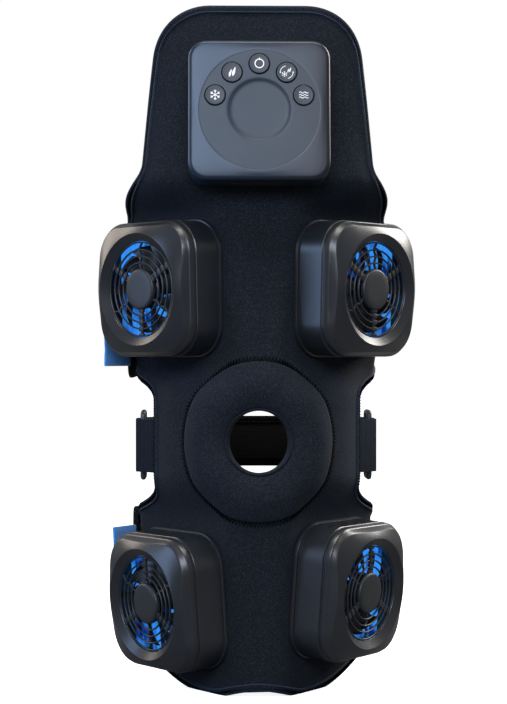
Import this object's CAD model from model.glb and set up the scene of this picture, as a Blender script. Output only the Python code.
"""Looks of a hot and cold therapy wrap for the knee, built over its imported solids.

Metres, +Z up the leg, -Y towards the front of the knee. The cloth is laid on one formula, the
outer skin of the wrap, so that the sheet, its pad, its seams and its straps all agree.
"""

import logging
import math
from dataclasses import dataclass
from enum import Enum
from functools import lru_cache
from typing import Any, Callable, Optional, Sequence

import bmesh
import bpy
import numpy as np
from mathutils import Matrix, Vector, noise


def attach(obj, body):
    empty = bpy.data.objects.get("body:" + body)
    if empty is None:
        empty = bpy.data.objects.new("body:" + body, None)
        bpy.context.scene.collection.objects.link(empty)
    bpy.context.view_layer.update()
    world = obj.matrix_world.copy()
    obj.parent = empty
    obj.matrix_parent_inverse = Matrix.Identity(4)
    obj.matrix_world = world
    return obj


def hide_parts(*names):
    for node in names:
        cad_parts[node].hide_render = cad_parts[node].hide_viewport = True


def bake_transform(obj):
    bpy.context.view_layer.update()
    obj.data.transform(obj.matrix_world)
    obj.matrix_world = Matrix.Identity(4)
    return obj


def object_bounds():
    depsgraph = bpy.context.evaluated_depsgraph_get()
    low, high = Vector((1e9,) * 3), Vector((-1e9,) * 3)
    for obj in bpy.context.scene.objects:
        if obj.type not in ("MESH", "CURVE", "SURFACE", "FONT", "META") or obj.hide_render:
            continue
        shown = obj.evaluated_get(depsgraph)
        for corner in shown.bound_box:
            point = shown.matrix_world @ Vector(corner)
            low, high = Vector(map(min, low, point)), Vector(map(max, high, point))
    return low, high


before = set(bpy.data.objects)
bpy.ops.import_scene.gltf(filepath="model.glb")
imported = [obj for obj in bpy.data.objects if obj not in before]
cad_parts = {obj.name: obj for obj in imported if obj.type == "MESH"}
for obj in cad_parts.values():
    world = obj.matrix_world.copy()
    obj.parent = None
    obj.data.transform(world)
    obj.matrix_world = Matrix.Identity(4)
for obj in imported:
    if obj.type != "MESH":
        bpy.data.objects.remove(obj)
CAD_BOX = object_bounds()

log = logging.getLogger("wrap")

MM = 0.001
WAVE_UNIT = 0.314  # length in metres of one wave of a wave texture of scale 1

Point = tuple[float, float]
Profile = Sequence[Point]


# Colour and nodes


def linear(code: str) -> tuple[float, float, float, float]:
    """Turns an sRGB hex colour to linear red, green, blue and alpha.

    Args:
        code: Colour such as "#1c2026".

    Returns:
        The linear colour with an alpha of 1.
    """
    parts = [int(code[i : i + 2], 16) / 255 for i in (1, 3, 5)]
    turned = [c / 12.92 if c <= 0.04045 else ((c + 0.055) / 1.055) ** 2.4 for c in parts]
    return (turned[0], turned[1], turned[2], 1.0)


def add_node(
    tree: bpy.types.NodeTree,
    kind: str,
    settings: Optional[dict[str, Any]] = None,
    links: Optional[dict[Any, bpy.types.NodeSocket]] = None,
) -> bpy.types.Node:
    """Adds one node with its settings and links.

    Args:
        tree: Node tree of the material or world.
        kind: Blender's name of the node type.
        settings: Attribute names, or names or numbers of inputs, with their values.
        links: Names or numbers of inputs with the output that feeds each.

    Returns:
        The new node.
    """
    made = tree.nodes.new(kind)
    for key, value in (settings or {}).items():
        if isinstance(key, str) and hasattr(made, key):
            setattr(made, key, value)
        else:
            made.inputs[key].default_value = value
    for key, socket in (links or {}).items():
        tree.links.new(socket, made.inputs[key])
    return made


def ramp(tree: bpy.types.NodeTree, source: bpy.types.NodeSocket, stops: Sequence[tuple[float, str]]) -> Any:
    """Colour ramp over a value.

    Args:
        tree: Node tree.
        source: Value that drives the ramp.
        stops: Places from 0 to 1 with their hex colours.

    Returns:
        The ramp's colour output.
    """
    made = add_node(tree, "ShaderNodeValToRGB", links={"Fac": source})
    bands = made.color_ramp.elements
    while len(bands) < len(stops):
        bands.new(0.5)
    for band, (place, code) in zip(bands, stops):
        band.position = place
        band.color = linear(code)
    return made.outputs["Color"]


class Axis(Enum):
    """Direction along which a woven band's ribs repeat."""

    X = 0
    Y = 1
    Z = 2


def cloud(tree: bpy.types.NodeTree, place: Any, size_mm: float, detail: float, **more: float) -> Any:
    """Noise whose patches are of a real size.

    Args:
        tree: Node tree.
        place: Coordinates.
        size_mm: Size of a patch in millimetres.
        detail: Number of finer layers.
        more: Further inputs of the noise.

    Returns:
        The noise, from 0 to 1.
    """
    settings = {"Scale": 1 / (size_mm * MM), "Detail": detail, **more}
    return add_node(tree, "ShaderNodeTexNoise", settings, {"Vector": place}).outputs["Fac"]


def mapped(tree: bpy.types.NodeTree, source: Any, start: Point, end: Point) -> Any:
    """A value moved from one range to another, held at both ends."""
    settings = {"From Min": start[0], "From Max": start[1], "To Min": end[0], "To Max": end[1]}
    return add_node(tree, "ShaderNodeMapRange", settings, {"Value": source}).outputs["Result"]


def tinted(tree: bpy.types.NodeTree, share: Any, tone: Any, code: str) -> Any:
    """A colour output turned by a share towards a hex colour."""
    settings = {"data_type": "RGBA", 7: linear(code)}
    return add_node(tree, "ShaderNodeMix", settings, {0: share, 6: tone}).outputs[2]


@dataclass(frozen=True)
class Finish:
    """A finish that becomes one node material."""

    name: str
    colour: str
    roughness: float

    def start(self) -> tuple[bpy.types.Material, bpy.types.NodeTree, bpy.types.Node, Any]:
        """Makes the material with its shader and object coordinates.

        Returns:
            The material, its tree, its Principled shader and the coordinate output.
        """
        made = bpy.data.materials.new(self.name)
        made.use_nodes = True
        tree = made.node_tree
        shader = tree.nodes["Principled BSDF"]
        shader.inputs["Roughness"].default_value = self.roughness
        shader.inputs["Base Color"].default_value = linear(self.colour)
        place = add_node(tree, "ShaderNodeTexCoord").outputs["Object"]
        made.diffuse_color = linear(self.colour)
        return made, tree, shader, place

    def material(self) -> bpy.types.Material:
        """Builds the material."""
        return self.start()[0]

    def paint(self, shader: bpy.types.Node, tone: Any, **levels: float) -> None:
        """Gives the shader its colour output and its plain levels.

        Args:
            shader: Principled shader.
            tone: Colour output.
            levels: Inputs with their values, their spaces written as underscores.
        """
        shader.id_data.links.new(tone, shader.inputs["Base Color"])
        for name, value in levels.items():
            shader.inputs[name.replace("_", " ")].default_value = value

    def scatter(self, shader: bpy.types.Node, source: Any, less: float, more: float) -> None:
        """Lets the roughness wander about its level with a value from 0 to 1."""
        levels = (self.roughness - less, self.roughness + more)
        rough = mapped(shader.id_data, source, (0.0, 1.0), levels)
        shader.id_data.links.new(rough, shader.inputs["Roughness"])

    def emboss(
        self, shader: bpy.types.Node, height: Any, strength: float, depth_mm: float, invert: bool = False
    ) -> None:
        """Raises the surface by a value.

        Args:
            shader: Principled shader.
            height: Value that is high where the surface stands up.
            strength: Share of the effect.
            depth_mm: Real depth in millimetres.
            invert: Whether high means deep.
        """
        settings = {"Strength": strength, "Distance": depth_mm * MM, "invert": invert}
        bump = add_node(shader.id_data, "ShaderNodeBump", settings, {"Height": height})
        shader.id_data.links.new(bump.outputs["Normal"], shader.inputs["Normal"])


@dataclass(frozen=True)
class MouldedPlastic(Finish):
    """Injection-moulded plastic with a spark-eroded grain, which breaks up its highlights.

    Where a far tone is given, the pigment drifts to it across the piece, from left to right.
    """

    light: str = "#4a4f57"
    grain_mm: float = 0.45
    grain_depth_mm: float = 0.012
    metallic: float = 0.0
    specular: float = 0.5
    edge: float = 0.25
    far: str = ""
    far_over_mm: tuple[float, float] = (-38.0, 38.0)
    flow_mm: float = 24.0

    def material(self) -> bpy.types.Material:
        """Builds the plastic: cloudy flow tone, brighter rubbed edges, fine grain in roughness and bump.

        Returns:
            The material.
        """
        made, tree, shader, place = self.start()
        tone = ramp(tree, cloud(tree, place, self.flow_mm, 3.0), ((0.35, self.colour), (0.75, self.light)))
        if self.far:
            axes = add_node(tree, "ShaderNodeSeparateXYZ", links={"Vector": place})
            start, end = self.far_over_mm
            drift = mapped(tree, axes.outputs["X"], (start * MM, end * MM), (0.0, 1.0))
            tone = tinted(tree, drift, tone, self.far)
        corners = add_node(tree, "ShaderNodeNewGeometry").outputs["Pointiness"]
        rubbed = mapped(tree, corners, (0.52, 0.60), (0.0, self.edge))
        tone = tinted(tree, rubbed, tone, self.light)
        self.paint(shader, tone, Metallic=self.metallic, Specular_IOR_Level=self.specular)
        grain = cloud(tree, place, self.grain_mm, 2.0)
        self.scatter(shader, grain, 0.05, 0.07)
        self.emboss(shader, grain, 0.6, self.grain_depth_mm)
        return made


@dataclass(frozen=True)
class KnitCloth(Finish):
    """Neoprene foam faced with fine jersey: tiny loops catch light as pale specks on near black."""

    speck: str = "#3b4654"
    glint: str = "#333f4e"
    glint_share: float = 0.35
    loop_mm: float = 0.75
    depth_mm: float = 0.10
    sheen: float = 0.25
    sheen_tint: str = "#8fa3bd"
    worn_mm: float = 45.0

    def material(self) -> bpy.types.Material:
        """Builds the cloth: loops, pale specks, single bright loops and broad wear tone.

        The real loops are 0.4 mm. Those of the straps are drawn larger so that they show.

        Returns:
            The material.
        """
        made, tree, shader, place = self.start()
        settings = {"Scale": 1 / (self.loop_mm * MM), "Randomness": 0.75}
        loops = add_node(tree, "ShaderNodeTexVoronoi", settings, {"Vector": place})
        speck = cloud(tree, place, self.loop_mm * 1.3, 4.0)
        shade = ramp(tree, speck, ((0.50, self.colour), (0.74, self.speck)))
        worn = mapped(tree, cloud(tree, place, self.worn_mm, 3.0), (0.3, 0.7), (0.80, 1.22))
        toned = add_node(tree, "ShaderNodeVectorMath", {"operation": "SCALE"}, {0: shade, "Scale": worn})
        chance = add_node(tree, "ShaderNodeSeparateColor", links={0: loops.outputs["Color"]}).outputs[0]
        single = mapped(tree, chance, (1 - self.glint_share, 1.0), (0.0, 0.45))
        self.paint(
            shader,
            tinted(tree, single, toned.outputs["Vector"], self.glint),
            Specular_IOR_Level=0.25,
            Sheen_Weight=self.sheen,
            Sheen_Roughness=0.45,
        )
        shader.inputs["Sheen Tint"].default_value = linear(self.sheen_tint)
        self.emboss(shader, loops.outputs["Distance"], 0.7, self.depth_mm, invert=True)
        return made


@dataclass(frozen=True)
class Webbing(Finish):
    """Woven polyester band: ribs run across it and the threads give a soft gleam."""

    light: str = "#2c3442"
    rib_mm: float = 1.1
    along: Axis = Axis.Z
    depth_mm: float = 0.14
    sheen: float = 0.15
    specular: float = 0.3
    yarn_mm: float = 0.5

    def material(self) -> bpy.types.Material:
        """Builds the band: ribs of twisted yarn with a finer yarn across them.

        Returns:
            The material.
        """
        made, tree, shader, place = self.start()
        settings = {
            "bands_direction": self.along.name,
            "Scale": WAVE_UNIT / (self.rib_mm * MM),
            "Distortion": 0.6,
            "Detail": 1.0,
            "Detail Scale": 2.0,
        }
        ribs = add_node(tree, "ShaderNodeTexWave", settings, {"Vector": place})
        links = {0: cloud(tree, place, self.yarn_mm, 3.0), 2: ribs.outputs["Fac"]}
        woven = add_node(tree, "ShaderNodeMath", {"operation": "MULTIPLY_ADD", 1: 0.35}, links)
        height = woven.outputs["Value"]
        tone = ramp(tree, height, ((0.2, self.colour), (1.0, self.light)))
        self.paint(shader, tone, Sheen_Weight=self.sheen, Specular_IOR_Level=self.specular)
        self.emboss(shader, height, 0.8, self.depth_mm)
        return made


@dataclass(frozen=True)
class BrushedFelt(Finish):
    """Needled felt: matted fibres, cloudy and fuzzy, with no shine."""

    light: str = "#55aef0"
    fibre_mm: float = 0.8
    pile_mm: float = 0.3
    lie: tuple[float, float, float] = (1.0, 1.0, 0.45)

    def material(self) -> bpy.types.Material:
        """Builds the felt: stretched noise as fibres and a strong sheen at grazing angles.

        Returns:
            The material.
        """
        made, tree, shader, place = self.start()
        spread = add_node(tree, "ShaderNodeMapping", {"Scale": self.lie}, {"Vector": place})
        fibre = cloud(tree, spread.outputs["Vector"], self.fibre_mm, 6.0, Roughness=0.7)
        tone = ramp(tree, fibre, ((0.30, self.colour), (0.70, self.light)))
        self.paint(shader, tone, Sheen_Weight=0.5, Sheen_Roughness=0.6, Specular_IOR_Level=0.15)
        self.emboss(shader, fibre, 0.9, self.pile_mm)
        return made


@dataclass(frozen=True)
class Metal(Finish):
    """Extruded or rolled metal: fine drawn lines stretch its highlights."""

    line_mm: float = 0.35
    glow: str = "#000000"
    glow_strength: float = 0.0
    spread: tuple[float, float, float] = (1.0, 1.0, 0.08)
    line_depth_mm: float = 0.02
    glow_mm: float = 14.0

    def material(self) -> bpy.types.Material:
        """Builds the metal: drawn lines in roughness and bump, with a lit tint where it glows.

        Returns:
            The material.
        """
        made, tree, shader, place = self.start()
        stretched = add_node(tree, "ShaderNodeMapping", {"Scale": self.spread}, {"Vector": place})
        lines = cloud(tree, stretched.outputs["Vector"], self.line_mm, 3.0)
        self.scatter(shader, lines, 0.08, 0.10)
        self.emboss(shader, lines, 0.3, self.line_depth_mm)
        shader.inputs["Metallic"].default_value = 0.9
        if self.glow_strength:
            patch = cloud(tree, place, self.glow_mm, 1.0)
            lit = ramp(tree, patch, ((0.38, "#06265c"), (0.56, self.glow)))
            tree.links.new(lit, shader.inputs["Emission Color"])
            shader.inputs["Emission Strength"].default_value = self.glow_strength
        return made


@dataclass(frozen=True)
class Printed(Finish):
    """Screen-printed white ink: flat, slightly broken by the grain under it."""

    grain_mm: float = 0.4
    lift: float = 0.25

    def material(self) -> bpy.types.Material:
        """Builds the ink.

        Returns:
            The material.
        """
        made, tree, shader, place = self.start()
        tone = ramp(tree, cloud(tree, place, self.grain_mm, 2.0), ((0.2, "#cfd6de"), (0.5, self.colour)))
        self.paint(shader, tone, Emission_Strength=self.lift)
        shader.inputs["Emission Color"].default_value = linear(self.colour)
        return made


FINISHES: dict[str, Finish] = {
    "neoprene": KnitCloth("neoprene_jersey", "#0d1219", 0.92, speck="#1d2631", loop_mm=0.42, sheen=0.06),
    "pad": KnitCloth("pad_jersey", "#0f141c", 0.92, speck="#202a36", loop_mm=0.42, sheen=0.06),
    "strap": KnitCloth(
        "loop_neoprene",
        "#07080a",
        0.92,
        speck="#121418",
        glint="#1c1f24",
        loop_mm=0.8,
        depth_mm=0.16,
        sheen=0.05,
    ),
    "binding": KnitCloth("edge_binding", "#141d29", 0.7, speck="#283749", loop_mm=0.5, sheen=0.25),
    "thread": Webbing(
        "bonded_thread", "#010102", 0.9, light="#030405", rib_mm=0.9, sheen=0.0, specular=0.08
    ),
    "navy webbing": Webbing(
        "navy_webbing", "#0a121b", 0.9, light="#111c29", rib_mm=0.8, along=Axis.X, sheen=0.03, specular=0.12
    ),
    "black webbing": Webbing("black_webbing", "#050607", 0.9, light="#0d0e10", rib_mm=0.9),
    "felt": BrushedFelt("brushed_felt", "#1f7fd6", 0.95, light="#49a6f2"),
    "hook": Webbing("hook_tape", "#0b0b0d", 0.8, light="#26262a", rib_mm=1.4, depth_mm=0.3),
    "shell": MouldedPlastic("moulded_abs", "#1b1e22", 0.31, light="#20242a", edge=0.15, specular=0.6),
    "face": MouldedPlastic(
        "metallic_abs", "#1f3042", 0.34, light="#253749", metallic=0.35, edge=0.1, far="#25282f"
    ),
    "panel": MouldedPlastic(
        "panel_abs", "#2c3946", 0.45, light="#313f4d", metallic=0.2, edge=0.05, far="#2e363f"
    ),
    "button": MouldedPlastic("button_abs", "#262f39", 0.45, light="#2c3641", edge=0.1),
    "base": MouldedPlastic("black_abs", "#0e0f12", 0.45, light="#131418", edge=0.1),
    "guard": MouldedPlastic("guard_abs", "#1f2226", 0.42, light="#26292e", grain_mm=0.4, edge=0.1),
    "fan": MouldedPlastic("fan_nylon", "#0a0c10", 0.35, light="#12151b"),
    "ring": MouldedPlastic("grey_acetal", "#33373d", 0.42, light="#42474e", edge=0.1),
    "rubber": MouldedPlastic("soft_rubber", "#101114", 0.65, light="#191a1e", grain_mm=0.6),
    "ceramic": MouldedPlastic("white_ceramic", "#d8d6cf", 0.5, light="#e6e4de"),
    "board": MouldedPlastic("board_laminate", "#14502c", 0.45, light="#1c6438"),
    "battery": MouldedPlastic("shrink_film", "#3f424a", 0.3, light="#50535c"),
    "steel": Metal("plated_steel", "#9a9ca0", 0.32),
    "aluminium": Metal("rolled_aluminium", "#c2c4c8", 0.34),
    "blue fins": Metal("anodised_fins", "#2a6cb4", 0.35, glow="#3794e0", glow_strength=0.85),
    "ink": Printed("printed_ink", "#f1f4f8", 0.6),
}


@lru_cache(maxsize=None)
def finish(key: str) -> bpy.types.Material:
    """The material of a finish, made once."""
    return FINISHES[key].material()


# The skin that the cloth follows


@dataclass(frozen=True)
class Limb:
    """Half of the leg: where its facets lie.

    The ridge is the girth of a facet's inner corner at height ridge_at, ridge_growth its change
    for each metre upwards, and turn the facet's angle in degrees away from the front.
    """

    ridge: float
    ridge_at: float
    ridge_growth: float
    turn: float


THIGH = Limb(ridge=15.2 * MM, ridge_at=83.7 * MM, ridge_growth=0.1323, turn=math.radians(46.8))
SHIN = Limb(ridge=13.5 * MM, ridge_at=-85.3 * MM, ridge_growth=0.0341, turn=math.radians(53.1))


def ease(t: float) -> float:
    """Eased step from 0 to 1."""
    t = min(max(t, 0.0), 1.0)
    return t * t * (3 - 2 * t)


@dataclass(frozen=True)
class LegSkin:
    """Outer skin of the wrap as a function of girth from the front line and height."""

    knee_front: float = 58 * MM
    knee_bend: float = 30 * MM
    thigh_lean: float = 0.10
    shin_lean: float = 0.0853
    knee_radius: float = 59 * MM
    knee_turn: float = math.radians(60)
    knee_back: float = 120 * MM
    ridge_round: float = 12 * MM
    side_round: float = 8 * MM
    side_turn: float = math.radians(85)
    back_round: float = 70 * MM
    facet_width: float = 77.2 * MM
    tongue_flat: float = 38 * MM
    tongue_round: float = 30 * MM
    tongue_turn: float = math.radians(50)
    knee_zone: Point = (20 * MM, 44.5 * MM)
    tongue_zone: Point = (123.5 * MM, 144 * MM)
    reach: float = 200 * MM
    probe: float = 0.5 * MM

    def front(self, z: float) -> float:
        """Y of the front line at height z."""
        lean = self.thigh_lean if z > 0 else self.shin_lean
        far = abs(z)
        bend = far * far / (2 * self.knee_bend) if far < self.knee_bend else far - self.knee_bend / 2
        return lean * bend - self.knee_front

    def knots(self, z: float) -> tuple[float, float, float, float]:
        """Girths where the section starts to turn, is flat, turns again and faces sideways.

        Args:
            z: Height.

        Returns:
            The four girths.
        """
        limb = THIGH if z > 0 else SHIN
        corner = limb.ridge + limb.ridge_growth * (z - limb.ridge_at)
        start = corner - self.ridge_round * math.tan(limb.turn / 2)
        flat = start + self.ridge_round * limb.turn
        end = flat + self.facet_width
        return start, flat, end, end + self.side_round * (self.side_turn - limb.turn)

    def knee_share(self, z: float) -> float:
        """How much of the section at height z is the knee's round one."""
        low, high = self.knee_zone
        return 1 - ease((abs(z) - low) / (high - low))

    def tongue_share(self, z: float) -> float:
        """How much of the section at height z is the tongue's flat one."""
        low, high = self.tongue_zone
        return ease((z - low) / (high - low))

    def section(self, z: float) -> tuple[np.ndarray, np.ndarray, np.ndarray]:
        """Right half of the section at height z.

        Args:
            z: Height.

        Returns:
            Girths with their x and y.
        """
        girth = np.linspace(0, self.reach, 800)
        turn = (THIGH if z > 0 else SHIN).turn
        start, flat, end, side = self.knots(z)
        far_turn = self.side_turn + (self.reach - side) / self.back_round
        facets = np.interp(
            girth, (0, start, flat, end, side, self.reach), (0, 0, turn, turn, self.side_turn, far_turn)
        )
        tongue_end = self.tongue_flat + self.tongue_round * self.tongue_turn
        tongue = np.interp(girth, (0, self.tongue_flat, tongue_end), (0, 0, self.tongue_turn))
        knee_end = self.knee_radius * self.knee_turn
        knee_far = self.knee_turn + (self.reach - knee_end) / self.knee_back
        round_knee = np.interp(girth, (0, knee_end, self.reach), (0, self.knee_turn, knee_far))
        knee, top = self.knee_share(z), self.tongue_share(z)
        psi = knee * round_knee + top * tongue + (1 - knee - top) * facets
        middle = (psi[1:] + psi[:-1]) / 2
        x = np.concatenate(([0], np.cumsum(np.cos(middle)) * girth[1]))
        y = np.concatenate(([0], np.cumsum(np.sin(middle)) * girth[1])) + self.front(z)
        return girth, x, y

    def point(self, w: float, z: float) -> Vector:
        """Point of the skin at signed girth w and height z."""
        girth, x, y = cut(round(z, 6))
        across = math.copysign(float(np.interp(abs(w), girth, x)), w)
        return Vector((across, float(np.interp(abs(w), girth, y)), z))

    def normal(self, w: float, z: float) -> Vector:
        """Outward normal of the skin at girth w and height z."""
        across = self.point(w + self.probe, z) - self.point(w - self.probe, z)
        along = self.point(w, z + self.probe) - self.point(w, z - self.probe)
        return across.cross(along).normalized()

    def over(self, w: float, z: float, height: float) -> Vector:
        """Point at a height over the skin."""
        return self.point(w, z) + self.normal(w, z) * height


SKIN = LegSkin()


@lru_cache(maxsize=None)
def cut(z: float) -> tuple[np.ndarray, np.ndarray, np.ndarray]:
    """The skin's section at a height, worked out once."""
    return SKIN.section(z)


# Meshes


def settled(obj: bpy.types.Object, name: str) -> bpy.types.Mesh:
    """Mesh of an object with its modifiers or its curve applied.

    Args:
        obj: Object to evaluate.
        name: Name for the mesh.

    Returns:
        A new mesh.
    """
    bpy.context.view_layer.update()
    graph = bpy.context.evaluated_depsgraph_get()
    made = bpy.data.meshes.new_from_object(obj.evaluated_get(graph))
    made.name = name
    return made


def cleaned(mesh: bpy.types.Mesh, merge: float = 0.01 * MM) -> bpy.types.Mesh:
    """Merges doubled points and turns the faces outwards.

    Args:
        mesh: Mesh to change.
        merge: Distance under which points join.

    Returns:
        The same mesh.
    """
    shape = bmesh.new()
    shape.from_mesh(mesh)
    bmesh.ops.remove_doubles(shape, verts=shape.verts, dist=merge)
    bmesh.ops.recalc_face_normals(shape, faces=shape.faces)
    shape.to_mesh(mesh)
    shape.free()
    return mesh


def lofted(
    name: str,
    rows: Sequence[Sequence[Vector]],
    closed: bool = True,
    looped: bool = False,
    capped: bool = False,
) -> bpy.types.Mesh:
    """Mesh of quads between rows of points.

    Args:
        name: Name for the mesh.
        rows: Rows of equal length.
        closed: Whether each row joins its own end.
        looped: Whether the last row joins the first.
        capped: Whether the first and last rows are filled.

    Returns:
        The mesh, cleaned.
    """
    width = len(rows[0])
    points = [tuple(p) for row in rows for p in row]
    faces = []
    for r in range(len(rows) if looped else len(rows) - 1):
        above = (r + 1) % len(rows) * width
        here = r * width
        for c in range(width if closed else width - 1):
            after = (c + 1) % width
            faces.append((here + c, here + after, above + after, above + c))
    if capped:
        faces.append(tuple(range(width)))
        faces.append(tuple(range((len(rows) - 1) * width, len(rows) * width)))
    made = bpy.data.meshes.new(name)
    made.from_pydata(points, [], faces)
    return cleaned(made)


def prism(
    name: str, loops: Sequence[Profile], low: float, high: float, soften: float = 0.0
) -> bpy.types.Mesh:
    """Mesh of a flat outline, with any further loops as holes, between two heights.

    Args:
        name: Name for the mesh.
        loops: Outline and holes.
        low: Lower height.
        high: Upper height.
        soften: Width of the rounding along its rims.

    Returns:
        The mesh.
    """
    data = bpy.data.curves.new(name, "CURVE")
    data.dimensions = "2D"
    data.fill_mode = "BOTH"
    data.extrude = (high - low) / 2
    for loop in loops:
        line = data.splines.new("POLY")
        line.points.add(len(loop) - 1)
        for point, (x, y) in zip(line.points, loop):
            point.co = (x, y, 0, 1)
        line.use_cyclic_u = True
    obj = bpy.data.objects.new(name, data)
    bpy.context.scene.collection.objects.link(obj)
    made = cleaned(settled(obj, name))
    bpy.data.objects.remove(obj)
    made.transform(Matrix.Translation((0, 0, (high + low) / 2)))
    if soften:
        made = bevelled(made, soften, 50)
    return made


def bevelled(mesh: bpy.types.Mesh, width: float, limit: float = 40, segments: int = 2) -> bpy.types.Mesh:
    """Rounds the edges of a mesh that turn by more than a limit.

    Args:
        mesh: Mesh to round.
        width: Width of the rounding.
        limit: Angle in degrees.
        segments: Faces across the rounding.

    Returns:
        A new mesh.
    """
    obj = bpy.data.objects.new(mesh.name, mesh)
    bpy.context.scene.collection.objects.link(obj)
    change = obj.modifiers.new("round", "BEVEL")
    change.width = width
    change.segments = segments
    change.limit_method = "ANGLE"
    change.angle_limit = math.radians(limit)
    made = settled(obj, mesh.name)
    bpy.data.objects.remove(obj)
    return made


def turned(name: str, profile: Profile, steps: int = 64) -> bpy.types.Mesh:
    """Mesh of a profile of (radius, height) points turned about Z.

    Args:
        name: Name for the mesh.
        profile: Points, closed by itself where neither end lies on the axis.
        steps: Faces round the turn.

    Returns:
        The mesh.
    """
    rows = []
    for i in range(steps):
        angle = math.tau * i / steps
        rows.append([Vector((r * math.cos(angle), r * math.sin(angle), z)) for r, z in profile])
    closed = profile[0][0] > 0 and profile[-1][0] > 0
    return lofted(name, rows, closed=closed, looped=True)


def boxed(name: str, placed: Sequence[tuple[Vector, Vector, float]]) -> bpy.types.Mesh:
    """One mesh of boxes, each turned about Z.

    Args:
        name: Name for the mesh.
        placed: Centre, size and turn of each box.

    Returns:
        The mesh.
    """
    shape = bmesh.new()
    for centre, size, turn in placed:
        matrix = Matrix.Rotation(turn, 4, "Z") @ Matrix.Translation(centre) @ Matrix.Diagonal((*size, 1))
        bmesh.ops.create_cube(shape, size=1, matrix=matrix)
    made = bpy.data.meshes.new(name)
    shape.to_mesh(made)
    shape.free()
    return made


def swept(
    name: str, path: Sequence[Vector], radius: float, sides: int = 6, closed: bool = False
) -> bpy.types.Mesh:
    """Mesh of a round thread along a path.

    Args:
        name: Name for the mesh.
        path: Points of its middle line.
        radius: Half of its thickness.
        sides: Faces round it.
        closed: Whether it joins its own end.

    Returns:
        The mesh.
    """
    points = [np.array(p, float) for p in path]
    count = len(points)
    rows = []
    side = None
    for i in range(count):
        before = points[i - 1] if closed or i else points[i]
        after = points[(i + 1) % count] if closed or i < count - 1 else points[i]
        along = after - before
        along /= np.linalg.norm(along)
        guess = side if side is not None else np.array((0.31, 0.27, 0.91))
        side = guess - along * float(guess @ along)
        side /= np.linalg.norm(side)
        other = np.cross(along, side)
        turns = [math.tau * k / sides for k in range(sides)]
        rows.append(
            [Vector(points[i] + radius * (math.cos(t) * side + math.sin(t) * other)) for t in turns]
        )
    return lofted(name, rows, looped=closed, capped=not closed)


def joined(name: str, meshes: Sequence[bpy.types.Mesh]) -> bpy.types.Mesh:
    """One mesh that holds several.

    Args:
        name: Name for the mesh.
        meshes: Meshes to hold.

    Returns:
        The new mesh.
    """
    shape = bmesh.new()
    for mesh in meshes:
        shape.from_mesh(mesh)
    made = bpy.data.meshes.new(name)
    shape.to_mesh(made)
    shape.free()
    return made


def carved(mesh: bpy.types.Mesh, cutter: bpy.types.Mesh) -> bpy.types.Mesh:
    """Takes one mesh out of another.

    Args:
        mesh: Mesh to cut.
        cutter: Mesh to take out.

    Returns:
        The cut mesh.
    """
    work = bpy.data.objects.new(mesh.name, mesh)
    tool = bpy.data.objects.new(cutter.name, cutter)
    for obj in (work, tool):
        bpy.context.scene.collection.objects.link(obj)
    change = work.modifiers.new("cut", "BOOLEAN")
    change.operation = "DIFFERENCE"
    change.solver = "EXACT"
    change.object = tool
    made = settled(work, mesh.name)
    bpy.data.objects.remove(work)
    bpy.data.objects.remove(tool)
    return made


def circle(radius: float, segments: int = 64, centre: Point = (0.0, 0.0)) -> list[Point]:
    """Points round a circle."""
    turns = (math.tau * i / segments for i in range(segments))
    return [(centre[0] + radius * math.cos(a), centre[1] + radius * math.sin(a)) for a in turns]


def rounded(half: float, corner: float, steps: int = 10, tall: Optional[float] = None) -> list[Point]:
    """Outline of a rounded square or rectangle, anticlockwise.

    Args:
        half: Half of its width.
        corner: Radius of its corners.
        steps: Faces in each corner.
        tall: Half of its height, where it isn't square.

    Returns:
        The points.
    """
    high = half if tall is None else tall
    points: list[Point] = []
    for quarter, (sx, sy) in enumerate(((1, 1), (-1, 1), (-1, -1), (1, -1))):
        for step in range(steps + 1):
            angle = math.pi / 2 * (quarter + step / steps)
            x = sx * (half - corner) + corner * math.cos(angle)
            y = sy * (high - corner) + corner * math.sin(angle)
            points.append((x, y))
    return points


def add_piece(
    name: str,
    mesh: bpy.types.Mesh,
    look: str,
    body: Optional[str],
    slot: str,
    replaces: Sequence[str] = (),
    matrix: Optional[Matrix] = None,
    smooth: float = 38,
) -> bpy.types.Object:
    """Puts a finished mesh in the scene as a piece that rides on a body.

    Args:
        name: Name of the piece.
        mesh: Its mesh.
        look: Key of its finish.
        body: Body that carries it, or None where it bends between two.
        slot: Slot of the record that its finish belongs to.
        replaces: Solids that it stands for.
        matrix: Place of the mesh in the row frame.
        smooth: Angle in degrees over which an edge stays sharp.

    Returns:
        The new object.
    """
    if matrix is not None:
        mesh = mesh.copy()
        mesh.transform(matrix)
    mesh.name = name
    mesh.materials.clear()
    mesh.materials.append(finish(look))
    mesh.shade_smooth()
    mesh.set_sharp_from_angle(angle=math.radians(smooth))
    obj = bpy.data.objects.new(name, mesh)
    bpy.context.scene.collection.objects.link(obj)
    if body:
        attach(obj, body)
    if replaces:
        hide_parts(*replaces)
    log.info("piece %s: %d faces on %s", name, len(mesh.polygons), body)
    return obj


def dress(node: str, look: str) -> None:
    """Gives a solid of the CAD model a finish."""
    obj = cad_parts[node]
    obj.data.materials.clear()
    obj.data.materials.append(finish(look))


# Sewn edges


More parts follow.
